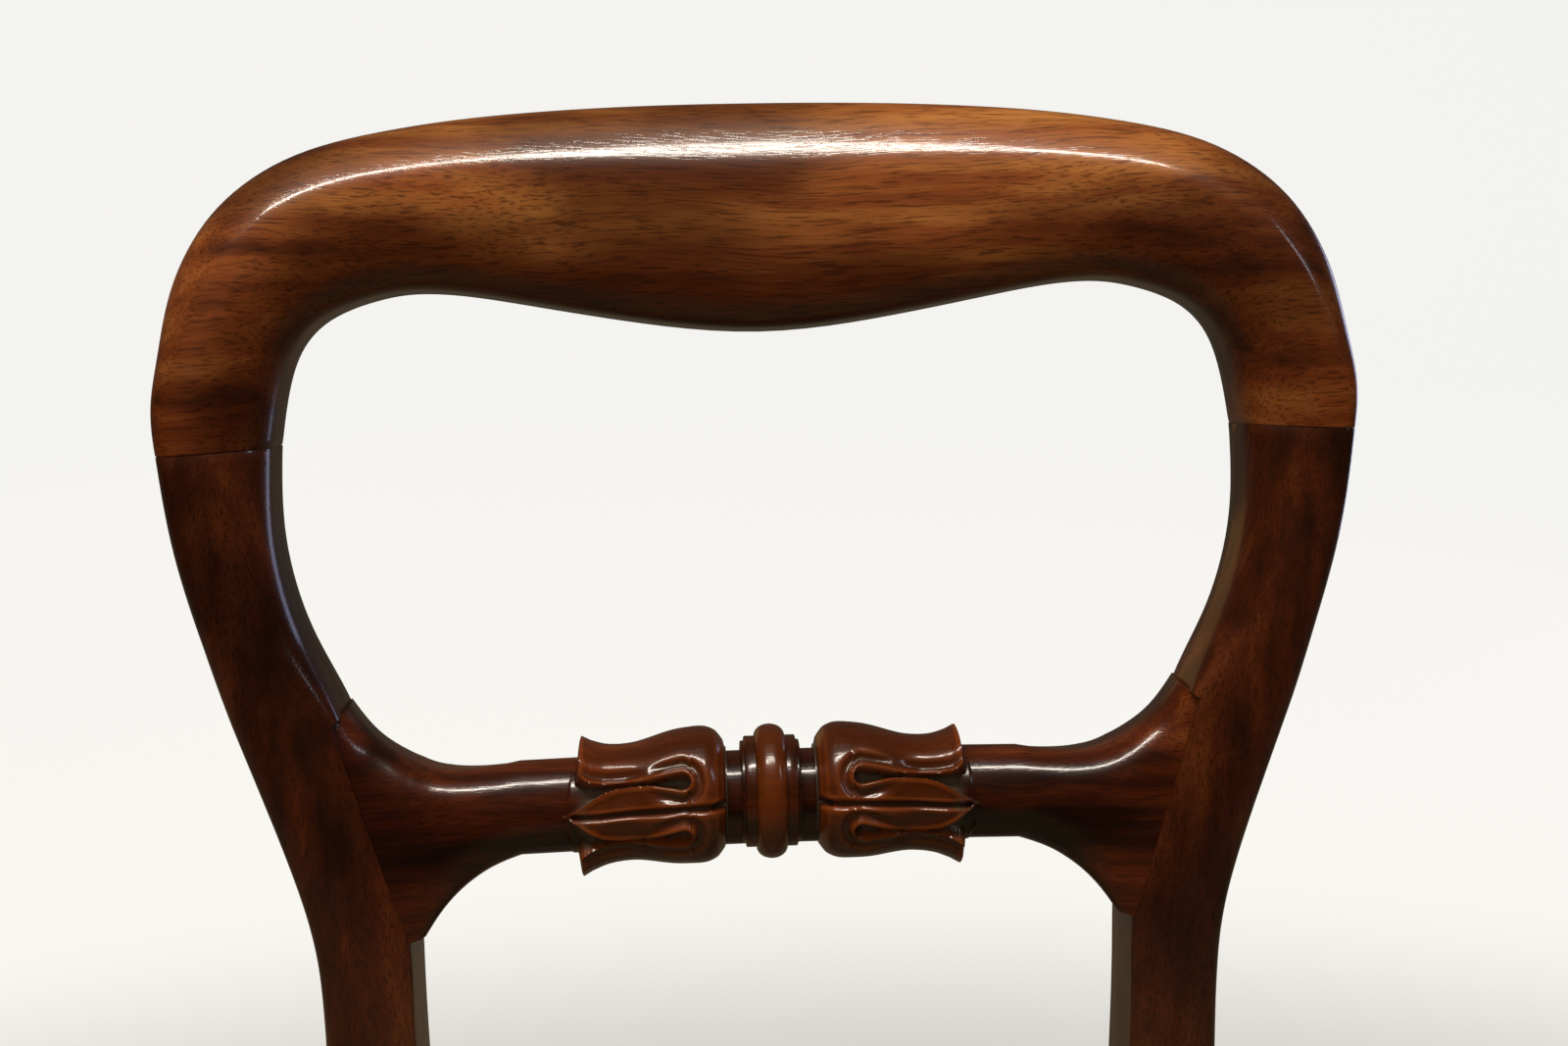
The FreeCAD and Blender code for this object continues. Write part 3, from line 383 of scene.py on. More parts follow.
# Uprights and rear legs
# Each is sawn with its rear leg from one mahogany plank, grain up and down, square
# in the seat frame and rounded above and below it, with the cross rail let in.
SEAT_REAR_WIDTH = 340.0
SEAT_TOP = 438.0
RAIL_HEIGHT = 66.0
WAIST_HEIGHT = 562.0
WAIST_WIDTH = 332.0
FOOT_WIDTH = 346.0
FOOT_DEPTH = 27.0
FOOT_FACE = 28.0
POST_DEPTH = 38.0
FACE_AT_SEAT = 38.0
FACE_AT_WAIST = 33.4
FACE_AT_RAIL = 36.9
BLOCK_MARGIN = 8.0
CROSS_RAIL = 640.2
SEAM_INSET = 34.6
STRAIGHT_END = 92.0
POST_STEPS = 8
LEG_STEPS = 14
SEAM_TOP = 36.5
SEAM_FOOT = -45.5
NOTCH_TOP = 55.0
NOTCH_TOP_RUN = 28.0
NOTCH_FOOT = -40.0
NOTCH_FOOT_RUN = 20.0
NOTCH_DEPTH = 180.0

post_wood = french_polished_mahogany("mahogany_post_dark", (0, math.radians(90), 0),
                                     ("240e05", "481e0c", "6e381a"))


def post_depth_at(z):
    """Front to back size of the upright at a height above the seat."""
    low = SEAT_TOP + BLOCK_MARGIN
    return between(POST_DEPTH, JOINT_DEPTH, (z - low) / (CREST_JOINT - low))


seat_half = SEAT_REAR_WIDTH / 2
waist_half = WAIST_WIDTH / 2
block_high = SEAT_TOP + BLOCK_MARGIN
block_low = SEAT_TOP - RAIL_HEIGHT - BLOCK_MARGIN
joint_outer = CREST_OUTLINE[0][0] * BALLOON_WIDTH / 2
joint_face = joint_outer - OPENING_WIDTH / 2
stations = [
    (block_high, seat_half, FACE_AT_SEAT, SQUARE),
    (between(block_high, WAIST_HEIGHT, .45), between(seat_half, waist_half, .7),
     between(FACE_AT_SEAT, FACE_AT_WAIST, .7), mixed(SQUARE, POST, .6)),
    (WAIST_HEIGHT, waist_half, FACE_AT_WAIST, POST),
]
for z, swell, face, section in (
        (CROSS_RAIL - 46, .03, FACE_AT_RAIL - 1.9, POST),
        (CROSS_RAIL - 22, .135, FACE_AT_RAIL - .9, POST),
        (CROSS_RAIL + 8, .325, FACE_AT_RAIL - .4, POST),
        (CROSS_RAIL + 38, .535, FACE_AT_RAIL + .6, mixed(POST, BALLOON, .3)),
        (between(CROSS_RAIL, CREST_JOINT, .5), .708, joint_face - 4.9, BALLOON),
        (between(CROSS_RAIL, CREST_JOINT, .75), .876, joint_face - 4.6, BALLOON)):
    stations.append((z, between(waist_half, BALLOON_WIDTH / 2, swell), face, section))
stations.append((CREST_JOINT, joint_outer, joint_face, BALLOON))
outer_edge = smooth_curve([(x, z) for z, x, face, section in stations])
inner_edge = smooth_curve([(x - face, z) for z, x, face, section in stations])
post_rings = []
for step in range(LEG_STEPS + 1):
    share = step / LEG_STEPS
    x = between(FOOT_WIDTH / 2, seat_half, share)
    face = between(FOOT_FACE, FACE_AT_SEAT, share)
    z = block_low * share
    post_rings.append(section_ring((x, z), (x - face, z), between(FOOT_DEPTH, POST_DEPTH, share),
                                   mixed(POST, SQUARE, share)))
for step in range((len(stations) - 1) * POST_STEPS + 1):
    place = step / POST_STEPS
    index = min(int(place), len(stations) - 2)
    section = mixed(stations[index][3], stations[index + 1][3], place - index)
    x, z = outer_edge(place)
    post_rings.append(section_ring((x, z), (inner_edge(place)[0], z), post_depth_at(z), section))
post_rings = post_rings[:-1] + eased_end(post_rings[-1], -JOINT_ARRIS_RISE)[::-1]


def outer_edge_at(z):
    """How far out the right upright reaches at a height near the cross rail."""
    low, high = 0.0, len(stations) - 1.0
    for halving in range(30):
        middle = (low + high) / 2
        if outer_edge(middle)[1] < z:
            low = middle
        else:
            high = middle
    return outer_edge(low)[0]


def leaned():
    """Moves a piece drawn upright on the cross rail's middle line to its leaning place."""
    z = CROSS_RAIL
    shift = Vector((0, rake(z) + bow(STRAIGHT_END, z) + post_depth_at(z) / 2, z))
    return Matrix.Translation(shift) @ Matrix.Rotation(-lean(z), 4, "X")


def prism(corners, along):
    """A solid drawn out straight from a flat outline."""
    mesh = bmesh.new()
    face = mesh.faces.new([mesh.verts.new(corner) for corner in corners])
    moved = bmesh.ops.extrude_face_region(mesh, geom=[face])["geom"]
    bmesh.ops.translate(mesh, verts=[v for v in moved if isinstance(v, bmesh.types.BMVert)], vec=along)
    bmesh.ops.recalc_face_normals(mesh, faces=mesh.faces)
    return mesh


def seam_cutter(side):
    """A block as wide as the cross rail between its seams, on one side of the chair."""
    high = outer_edge_at(CROSS_RAIL + SEAM_TOP) - SEAM_INSET
    low = outer_edge_at(CROSS_RAIL + SEAM_FOOT) - SEAM_INSET
    outline = [(0, NOTCH_TOP), (high - NOTCH_TOP_RUN, NOTCH_TOP), (high, SEAM_TOP), (low, SEAM_FOOT),
               (low - NOTCH_FOOT_RUN, NOTCH_FOOT), (0, NOTCH_FOOT)]
    mesh = prism([(side * x, -NOTCH_DEPTH / 2, z) for x, z in outline], Vector((0, NOTCH_DEPTH, 0)))
    mesh.transform(leaned())
    return mesh


def cut_mesh(mesh, cutter, operation):
    """The mesh with another taken from it, or what the two share, both in millimetres."""
    objects = []
    for part in (mesh, cutter):
        data = bpy.data.meshes.new("cut")
        part.to_mesh(data)
        part.free()
        objects.append(bpy.data.objects.new("cut", data))
        bpy.context.collection.objects.link(objects[-1])
    change = objects[0].modifiers.new("cut", "BOOLEAN")
    change.object = objects[1]
    change.operation = operation
    change.solver = "EXACT"
    bpy.context.view_layer.update()
    evaluated = objects[0].evaluated_get(bpy.context.evaluated_depsgraph_get())
    result = bmesh.new()
    result.from_mesh(evaluated.to_mesh())
    evaluated.to_mesh_clear()
    for item in objects:
        data = item.data
        bpy.data.objects.remove(item)
        bpy.data.meshes.remove(data)
    return result


for side, word in ((1, "right"), (-1, "left")):
    mesh = bmesh.new()
    loft(mesh, [[Vector((side * p.x, p.y, p.z)) for p in ring] for ring in post_rings])
    bmesh.ops.recalc_face_normals(mesh, faces=mesh.faces)
    mesh = cut_mesh(mesh, seam_cutter(side), "DIFFERENCE")
    post = make_piece(f"upright_and_rear_leg_{word}", mesh, post_wood, "chair_frame")
    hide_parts(f"rear_leg_{word}")

# Cross rail
# The lower rail of the balloon, mahogany with the grain across, turned with a
# ring, carved with two tulips and flared at its ends to meet the uprights.
NECK_DIAMETER = 33.2
PLAIN_DEPTH = 31.0
RAIL_ARCH = 2.2
RING_PROFILE = [(17.0, 11.0), (18.5, 10.9), (18.8, 10.6), (18.8, 9.7), (20.2, 9.5), (20.5, 9.2), (20.5, 5.8)]
RING_DIAMETER = 49.6
RING_WIDTH = 11.4
RING_STEPS = 12
FLARE_STEPS = 8
TULIP_START = 17.4
TULIP_LIP = 69.8
TULIP_ALONG = 170
TULIP_ROUND = 210
LEAF_TIP = 73.4
CARVING_TURN = math.radians(5.5)
TULIP_RISE = .8
TULIP_DROOP = 3.3
RING_RISE = 1.0
TULIP_SHIFT = -1.2
TULIP_STRETCH = .0536
FRONT_DENSITY = .62
GROUND_SWEEPS = 16
BELL_END = 68.0
SHEET_RADIUS = 21.5
TEARDROP_HEAD = 33.0
TEARDROP_HEAD_LENGTH = 3.1
TEARDROP_TIP = 46.5
TEARDROP_RADIUS = 2.6
TEARDROP_OUT = 9.3
TEARDROP_DEPTH = 6.0
TEARDROP_BEAD = .7
CHANNEL_DEPTH = 1.7
CHANNEL_OUT = 3.6
RIB_GROOVE = 3.0
RIB_HALF_WIDTH = 1.8
HEART_FADE = (42.0, 47.0)
LEAF_DISH = 1.0
LEAF_TIP_HEIGHT = 2.0
LEAF_EDGE = [(17, 6), (21, 6.2), (28, 6.3), (33, 6.4), (41, 8.4), (45, 9.8), (50, 10.4), (55, 10.2),
             (60, 8.9), (65, 5.9), (70, 2.4), (73.4, 0)]
PETAL_SCOOP = 2.0
PETAL_EDGE = [(17, 10), (45, 10.9), (50, 11.4), (58, 11.6), (64, 11.9), (67, 13), (69.8, 15.5)]
STRAIGHT_RINGS = (12.0, 40.0, 70.0)

rail_wood = french_polished_mahogany("mahogany_cross_rail_red", (0, 0, 0),
                                     ("260c04", "5c260e", "8a4c1e"), (.3, .1, .2))
# Dust has settled grey in the hollows of the carving and its ridges are rubbed light.
shader = rail_wood.node_tree.nodes["Principled BSDF"]
hollow = add_node(rail_wood, "ShaderNodeAttribute", {}, attribute_name="recess").outputs["Fac"]
wood_colour = shader.inputs["Base Color"].links[0].from_socket
rubbed = add_node(rail_wood, "ShaderNodeAttribute", {}, attribute_name="worn").outputs["Fac"]
wood_colour = add_node(rail_wood, "ShaderNodeMix", {0: rubbed, 6: wood_colour, 7: hex_colour("602c0a")},
                       data_type="RGBA", blend_type="SCREEN").outputs[2]
dusty = add_node(rail_wood, "ShaderNodeMath", {0: hollow, 1: .8}, operation="MULTIPLY").outputs[0]
dusty = add_node(rail_wood, "ShaderNodeMix", {0: dusty, 6: wood_colour, 7: hex_colour("4c4236")},
                 data_type="RGBA").outputs[2]
rail_wood.node_tree.links.new(dusty, shader.inputs["Base Color"])
shader.inputs["Coat Roughness"].default_value = .13


def rail_ring(x, up, down, depth, section):
    """A section of the cross rail, its back in line with the backs of the uprights."""
    ring = section_ring((x, CROSS_RAIL + up), (x, CROSS_RAIL + down), depth, section)
    back = Vector((0, post_depth_at(CROSS_RAIL) - depth, 0))
    return [point + back for point in ring]


def fade(value, start, end):
    """Eases from 0 at start to 1 at end."""
    share = min(1.0, max(0.0, (value - start) / (end - start)))
    return share * share * (3 - 2 * share)


neck = NECK_DIAMETER / 2
rail_back = PLAIN_DEPTH / 2 - .1
full_depth = post_depth_at(CROSS_RAIL)
inner_x = WAIST_WIDTH / 2 - FACE_AT_WAIST
top = neck - RAIL_ARCH
bottom = -neck - RAIL_ARCH
flare = [
    (STRAIGHT_END, top, bottom, 0.0, 0.0),
    (inner_x - 28.0, top - 1.2, bottom - 3.6, .2, .35),
    (inner_x - 14.0, top - .6, bottom - 13.0, .6, .8),
    (inner_x - 4.0, top + 3.0, bottom - 26.0, 1.0, 1.0),
    (inner_x + 4.0, top + 8.0, bottom - 33.0, 1.0, 1.0),
    (inner_x + 14.0, top + 17.2, bottom - 33.0, 1.0, 1.0),
    (inner_x + 25.0, top + 34.8, bottom - 33.0, 1.0, 1.0),
]
top_edge = smooth_curve([(station[0], station[1]) for station in flare])
bottom_edge = smooth_curve([(station[0], station[2]) for station in flare])
half_rings = [rail_ring(x, top, bottom, PLAIN_DEPTH, ROUND) for x in STRAIGHT_RINGS]
for step in range((len(flare) - 1) * FLARE_STEPS + 1):
    place = step / FLARE_STEPS
    index = min(int(place), len(flare) - 2)
    deeper = between(flare[index][3], flare[index + 1][3], place - index)
    flatter = between(flare[index][4], flare[index + 1][4], place - index)
    x, high = top_edge(place)
    end = mixed(FLARE, TIP, fade(place, 3.6, 5.2))
    half_rings.append(rail_ring(x, high, bottom_edge(place)[1], between(PLAIN_DEPTH, full_depth, deeper),
                                mixed(ROUND, end, flatter)))


def add_mesh(whole, mesh):
    """Puts a mesh into another as it stands."""
    data = bpy.data.meshes.new("part")
    mesh.to_mesh(data)
    mesh.free()
    whole.from_mesh(data)
    bpy.data.meshes.remove(data)


whole = bmesh.new()
whole.verts.layers.float.new("recess")
whole.verts.layers.float.new("worn")
for side in (1, -1):
    mesh = bmesh.new()
    centre = rail_ring(0.0, top, bottom, PLAIN_DEPTH, ROUND)
    loft(mesh, [centre] + [[Vector((side * p.x, p.y, p.z)) for p in ring] for ring in half_rings])
    bmesh.ops.recalc_face_normals(mesh, faces=mesh.faces)
    add_mesh(whole, cut_mesh(mesh, seam_cutter(side), "INTERSECT"))

bell = [(17.4, 15.0), (18.4, 19.6), (21.0, 23.2), (25.0, 25.0), (30.0, 25.1), (38.0, 24.2), (47.0, 22.1),
        (54.0, 21.5), (60.0, 22.2), (65.0, 24.0), (BELL_END, 25.7)]
bell_x = [x for x, radius in bell]
bell_curve = smooth_curve(bell)


def bell_radius(x):
    """The outside of the tulip along its length: round heart, waist and flared lip."""
    return float(bell_curve(np.interp(min(x, BELL_END), bell_x, range(len(bell_x))))[1])


def tulip_radius(x, around):
    """How far from its axis the carving stands at x and at an arc length from its front."""
    s = abs(around)
    floor = neck + .4 - 1.4 * fade(x, 70.8, 74)
    radius = bell_radius(x)
    leaf_edge = float(np.interp(x, *zip(*LEAF_EDGE)))
    petal_edge = float(np.interp(x, *zip(*PETAL_EDGE)))
    groove = RIB_GROOVE * max(0.0, 1 - s / RIB_HALF_WIDTH) * fade(x, 19, 24)
    # The heart: two ribbons turned back on themselves round a teardrop cut deep.
    heart = radius - floor
    if x < 23:
        heart *= fade(s, -.6, 1.2 + (23 - x) * .45)
    past_head = x - TEARDROP_HEAD
    centre = TEARDROP_OUT + past_head * .1
    if past_head < 0:
        half_width = TEARDROP_RADIUS * math.sqrt(max(0.0, 1 - (past_head / TEARDROP_HEAD_LENGTH) ** 2))
    else:
        half_width = TEARDROP_RADIUS * (max(0.0, TEARDROP_TIP - x) / (TEARDROP_TIP - TEARDROP_HEAD)) ** .8
    gap = abs(s - centre) - half_width
    if past_head <= -TEARDROP_HEAD_LENGTH:
        gap = math.hypot(past_head, s - centre) - TEARDROP_RADIUS
    bead = TEARDROP_BEAD * math.exp(-((gap - .9) / .7) ** 2) * fade(gap, -.3, .3)
    channel = CHANNEL_DEPTH * math.exp(-((gap - CHANNEL_OUT) / 1.7) ** 2) * fade(42 - x, -4, 6)
    heart += bead - channel - TEARDROP_DEPTH * (1 - fade(gap, -.9, .2)) - groove
    # The leaf, dished each side of its rib, and the scooped petals beside it.
    if s < (leaf_edge + petal_edge) / 2:
        share = min(1.0, s / max(leaf_edge, .1))
        dish = LEAF_DISH * math.sin(math.pi * share) * fade(x, 44, 54) * fade(73 - x, 0, 10)
        leaf = between(radius - floor, LEAF_TIP_HEIGHT, fade(x, 58, LEAF_TIP))
        leaf -= dish + groove * fade(LEAF_TIP - x, 0, 4)
        outer_part = max(0.0, leaf) * (1 - fade(s, leaf_edge - .3, leaf_edge + .5))
    else:
        scoop = PETAL_SCOOP * math.exp(-((s - petal_edge - 3.0) / 2.4) ** 2) * fade(x, 43, 54)
        outer_part = (radius - floor - scoop) * fade(s, petal_edge - .5, petal_edge + .6)
        outer_part *= 1 - fade(x, BELL_END, TULIP_LIP)
    return floor + max(0.0, between(heart, outer_part, fade(x, *HEART_FADE)))


def tulip_mesh(side):
    """A tulip carved on the rail: a sheet wrapped round it, dense at the front."""
    mesh = bmesh.new()
    bmesh.ops.create_grid(mesh, x_segments=TULIP_ALONG, y_segments=TULIP_ROUND, size=.5)
    recess = mesh.verts.layers.float.new("recess")
    worn = mesh.verts.layers.float.new("worn")
    mesh.verts.index_update()
    places = []
    for vert in mesh.verts:
        share = vert.co.y * 2
        places.append((between(TULIP_START, LEAF_TIP + .6, vert.co.x + .5),
                       math.pi * (FRONT_DENSITY * share + (1 - FRONT_DENSITY) * share ** 3)))
    radii = [tulip_radius(x, angle * SHEET_RADIUS) for x, angle in places]
    ground = radii
    for sweep in range(GROUND_SWEEPS):
        ground = [(ground[vert.index] + sum(ground[edge.other_vert(vert).index] for edge in vert.link_edges))
                  / (1 + len(vert.link_edges)) for vert in mesh.verts]
    for vert, (x, angle), radius, level in zip(mesh.verts, places, radii, ground):
        within = fade(70.5 - x, 0, 6)
        deep = fade(bell_radius(x) - radius, 2.0, 6.0)
        vert[recess] = max(deep, .8 * fade(level - radius, .1, .8)) * within
        vert[worn] = fade(radius - neck, 1.0, 4.0) * between(.3, 1.0, fade(radius - level, .0, .28))
        angle += CARVING_TURN
        y = -radius * math.cos(angle)
        droop = TULIP_RISE - TULIP_DROOP * fade(x, 20, 74)
        x += TULIP_SHIFT + (x - TULIP_START) * TULIP_STRETCH
        vert.co = (side * x, min(y, rail_back), radius * math.sin(angle) + droop)
    bmesh.ops.remove_doubles(mesh, verts=mesh.verts, dist=.02)
    bmesh.ops.holes_fill(mesh, edges=[e for e in mesh.edges if e.is_boundary], sides=0)
    bmesh.ops.recalc_face_normals(mesh, faces=mesh.faces)
    return mesh


def turned_mesh(profile, axis, steps=96):
    """Work turned round an axis through points (radius, place along it)."""
    mesh = bmesh.new()
    side = Vector((0, 0, 1)) if axis.x else Vector((1, 0, 0))
    verts = [mesh.verts.new(side * radius + axis * place) for radius, place in profile]
    edges = [mesh.edges.new((a, b)) for a, b in zip(verts, verts[1:])]
    bmesh.ops.spin(mesh, geom=verts + edges, cent=(0, 0, 0), axis=axis, angle=math.tau, steps=steps,
                   use_merge=True, use_duplicate=False)
    bmesh.ops.holes_fill(mesh, edges=[e for e in mesh.edges if e.is_boundary], sides=0)
    bmesh.ops.recalc_face_normals(mesh, faces=mesh.faces)
    return mesh


crown = []
step_radius = RING_PROFILE[-1][0]
for step in range(RING_STEPS + 1):
    angle = math.pi * (step / RING_STEPS - .5)
    crown.append((step_radius + (RING_DIAMETER / 2 - step_radius) * math.cos(angle),
                  RING_WIDTH / 2 * math.sin(angle)))
ring_profile = [(radius, -x) for radius, x in RING_PROFILE] + crown
ring_profile += [(radius, x) for radius, x in reversed(RING_PROFILE)]
shift = Matrix.Translation((0, full_depth / 2 - PLAIN_DEPTH / 2, 0))
ring = turned_mesh(ring_profile, Vector((1, 0, 0)))
worn = ring.verts.layers.float.new("worn")
for vert in ring.verts:
    vert[worn] = .6 * fade(math.hypot(vert.co.y, vert.co.z) - neck, 3.0, 6.0)
bmesh.ops.translate(ring, verts=ring.verts, vec=Vector((0, 0, RING_RISE)))
for mesh in (ring, tulip_mesh(1), tulip_mesh(-1)):
    for vert in mesh.verts:
        vert.co.y = min(vert.co.y, rail_back)
    mesh.transform(leaned() @ shift)
    add_mesh(whole, mesh)
cross_rail = make_piece("cross_rail_carved", whole, rail_wood, "chair_frame", 60.0)
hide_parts("cross_rail")

# Front legs
# Turned from mahogany squares left whole at the top, where the seat rails are
# tenoned in and the inner corner is cut away for the drop-in seat.
LEG_BLOCK = 44.0
LEG_BLOCK_BOTTOM = 360.0
SEAT_FRONT_WIDTH = 460.0
SEAT_DEPTH = 375.0
LEG_ARRIS = 1.0
RAIL_STEP_BACK = 2.0
RAIL_LIP = 11.0
REBATE_DEPTH = 18.0
WELL_HEIGHT = 30.0
LEG_SWEEP_STEPS = 72
LEG_PROFILE = [(19, 364), (19, 352.2), (22.5, 351.0), (25.4, 348.0), (26.5, 344), (25.4, 340.0),
               (22.5, 337.0), (19.2, 336), (20.5, 335.6), (20.5, 331.4), (19.0, 331.0), (20.2, 320),
               (21.9, 307), (22.5, 296), (22.4, 280), (21.6, 264), (21.3, 251), (19.6, 200), (17.3, 150),
               (15.0, 100), (13.1, 62), (12.5, 56), (14.4, 54.6), (15.6, 52.6), (16, 50), (15.6, 47.4),
               (14.4, 45.4), (12.5, 44), (14.2, 36), (15.4, 25), (15.4, 16), (14.6, 6), (13.5, .8),
               (12.7, 0)]
leg_wood = french_polished_mahogany("mahogany_leg_dark", (0, math.radians(90), 0),
                                    ("240a03", "501c09", "7a3814"), (.5, .2, 0))


def side_line(y, inset):
    """How far out the outer face of the right side rail lies, less an inset."""
    rear = SEAT_REAR_WIDTH / 2 - RAIL_STEP_BACK
    front = SEAT_FRONT_WIDTH / 2 - RAIL_STEP_BACK
    slope = (front - rear) / (LEG_BLOCK - SEAT_DEPTH)
    return rear + slope * y - inset * math.hypot(1, slope)


def seat_corners(inset):
    """The corners (x, y) of the rebate seen from above, drawn in by an inset."""
    front = -SEAT_DEPTH + RAIL_STEP_BACK + RAIL_LIP + inset
    front_x = side_line(front, RAIL_LIP + inset)
    rear_x = side_line(-inset, RAIL_LIP + inset)
    return [(-front_x, front), (front_x, front), (rear_x, -inset), (-rear_x, -inset)]


for side, word in ((1, "right"), (-1, "left")):
    block = bmesh.new()
    bmesh.ops.create_cube(block, size=1.0)
    size = Vector((LEG_BLOCK, LEG_BLOCK, SEAT_TOP - LEG_BLOCK_BOTTOM))
    bmesh.ops.scale(block, verts=block.verts, vec=size)
    centre = Vector((SEAT_FRONT_WIDTH / 2 - LEG_BLOCK / 2, LEG_BLOCK / 2 - SEAT_DEPTH,
                     (SEAT_TOP + LEG_BLOCK_BOTTOM) / 2))
    bmesh.ops.translate(block, verts=block.verts, vec=centre)
    bmesh.ops.bevel(block, geom=block.edges, affect="EDGES", offset=LEG_ARRIS, segments=3, profile=.5,
                    material=-1)
    ledge = SEAT_TOP - REBATE_DEPTH
    well = prism([(x, y, ledge) for x, y in seat_corners(0)], Vector((0, 0, WELL_HEIGHT)))
    leg = cut_mesh(block, well, "DIFFERENCE")
    turning = turned_mesh(LEG_PROFILE, Vector((0, 0, 1)), LEG_SWEEP_STEPS)
    bmesh.ops.translate(turning, verts=turning.verts, vec=Vector((centre.x, centre.y, 0)))
    add_mesh(leg, turning)
    bmesh.ops.scale(leg, verts=leg.verts, vec=Vector((side, 1, 1)))
    piece = make_piece(f"front_leg_turned_{word}", leg, leg_wood, "chair_frame", 35.0)
    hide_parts(f"front_leg_{word}")

# Seat rails
# Four mahogany rails tenoned into the legs, rebated inside for the drop-in seat,
# the three that show with a faint swell and a bead along the lower edge.
RAIL_ARRIS = .7
SEAT_RAIL_TONES = ("280c03", "62280c", "8a4818")
rail_along_x = french_polished_mahogany("mahogany_rail_across", (0, 0, 0), SEAT_RAIL_TONES, (.1, .4, .3))
rail_along_y = french_polished_mahogany("mahogany_rail_front_to_back", (0, 0, math.radians(90)),
                                        SEAT_RAIL_TONES, (.7, .1, .3))
for node, wood in (("front_seat_rail", rail_along_x), ("back_seat_rail", rail_along_x),
                   ("side_seat_rail_right", rail_along_y), ("side_seat_rail_left", rail_along_y)):
    mesh = bmesh.new()
    mesh.from_mesh(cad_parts[node].data)
    bmesh.ops.scale(mesh, verts=mesh.verts, vec=Vector((1, 1, 1)) / MM)
    bmesh.ops.translate(mesh, verts=mesh.verts, vec=-SETBACK)
    bmesh.ops.remove_doubles(mesh, verts=mesh.verts, dist=.01)
    bmesh.ops.dissolve_limit(mesh, angle_limit=math.radians(1), verts=mesh.verts, edges=mesh.edges)
    arrises = [edge for edge in mesh.edges if edge.calc_face_angle(0) > math.radians(35)]
    bmesh.ops.bevel(mesh, geom=arrises, affect="EDGES", offset=RAIL_ARRIS, segments=3, profile=.5,
                    material=-1, clamp_overlap=True)
    rail = make_piece(f"{node}_eased", mesh, wood, "chair_frame", 50.0)
    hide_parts(node)

# Corner blocks, dowels and the seat's loose frame
# Plain beech, planed and left bare, since none of it shows when the seat is in: blocks
# screwed inside the corners, dowels glued into the back's joints, and a loose frame
# with its sides tenoned between front and back.


def planed_beech(name, grain_turn):
    """Pale beech straight from the plane: short brown flecks along a faint grain, no shine."""
    material, shader, place = new_material(name)
    board = add_node(material, "ShaderNodeMapping", {"Vector": place, "Rotation": grain_turn}).outputs[0]
    board = add_node(material, "ShaderNodeMapping", {"Vector": board, "Scale": (.06, 1, 1)}).outputs[0]
    # Growth rings about 6 mm apart, and flecks of 1 mm by 17 mm, coarse enough to show.
    rings = add_node(material, "ShaderNodeTexNoise", {"Vector": board, "Scale": 1 / .006, "Detail": 3.0})
    ramp = add_node(material, "ShaderNodeValToRGB", {"Fac": rings.outputs["Fac"]})
    ramp.color_ramp.elements[0].position = .35
    ramp.color_ramp.elements[0].color = hex_colour("b08a5e")
    ramp.color_ramp.elements[1].position = .65
    ramp.color_ramp.elements[1].color = hex_colour("cfae80")
    fleck = add_node(material, "ShaderNodeTexNoise", {"Vector": board, "Scale": 1 / .001, "Detail": 1.0})
    mask = add_node(material, "ShaderNodeMapRange", {"Value": fleck.outputs["Fac"], 1: .6, 2: .7})
    colour = add_node(material, "ShaderNodeMix", {0: mask.outputs[0], 6: ramp.outputs["Color"],
                                                  7: hex_colour("8a643c")}, data_type="RGBA").outputs[2]
    material.node_tree.links.new(colour, shader.inputs["Base Color"])
    bump = add_node(material, "ShaderNodeBump", {"Height": mask.outputs[0], "Strength": .3,
                                                 "Distance": .0001}).outputs["Normal"]
    material.node_tree.links.new(bump, shader.inputs["Normal"])
    shader.inputs["Roughness"].default_value = .62
    return material


def dress_node(name, material):
    """Gives one of the part's own nodes its material."""
    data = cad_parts[name].data
    data.materials.clear()
    data.materials.append(material)


beech_x = planed_beech("beech_planed_across", (0, 0, 0))
beech_y = planed_beech("beech_planed_front_to_back", (0, 0, math.radians(90)))
for node in ("corner_block_front_right", "corner_block_front_left", "corner_block_rear_right",
             "corner_block_rear_left", "crest_dowels", "cross_rail_dowels", "seat_frame_front",
             "seat_frame_back", "seat_frame_left", "seat_frame_right"):
    dress_node(node, beech_y if node.endswith(("frame_left", "frame_right")) else beech_x)

# Screws
# Slotted steel wood screws, one through each corner block. Age has dulled them and
# left brown tarnish in specks about 3 mm wide.
steel, shader, place = new_material("steel_slotted_screw_dull")
tarnish = add_node(steel, "ShaderNodeTexNoise", {"Vector": place, "Scale": 1 / .003, "Detail": 4.0})
ramp = add_node(steel, "ShaderNodeValToRGB", {"Fac": tarnish.outputs["Fac"]})
ramp.color_ramp.elements[0].color = hex_colour("5a4c40")
ramp.color_ramp.elements[1].color = hex_colour("9b9894")
steel.node_tree.links.new(ramp.outputs["Color"], shader.inputs["Base Color"])
shader.inputs["Metallic"].default_value = 1.0
shader.inputs["Roughness"].default_value = .42
dress_node("corner_block_screws", steel)

# Webbing, hessian and dust cover
# Jute straps woven over and under each other, hessian over them, and a black
# cotton under the frame, each a plain weave drawn at its own thread spacing.


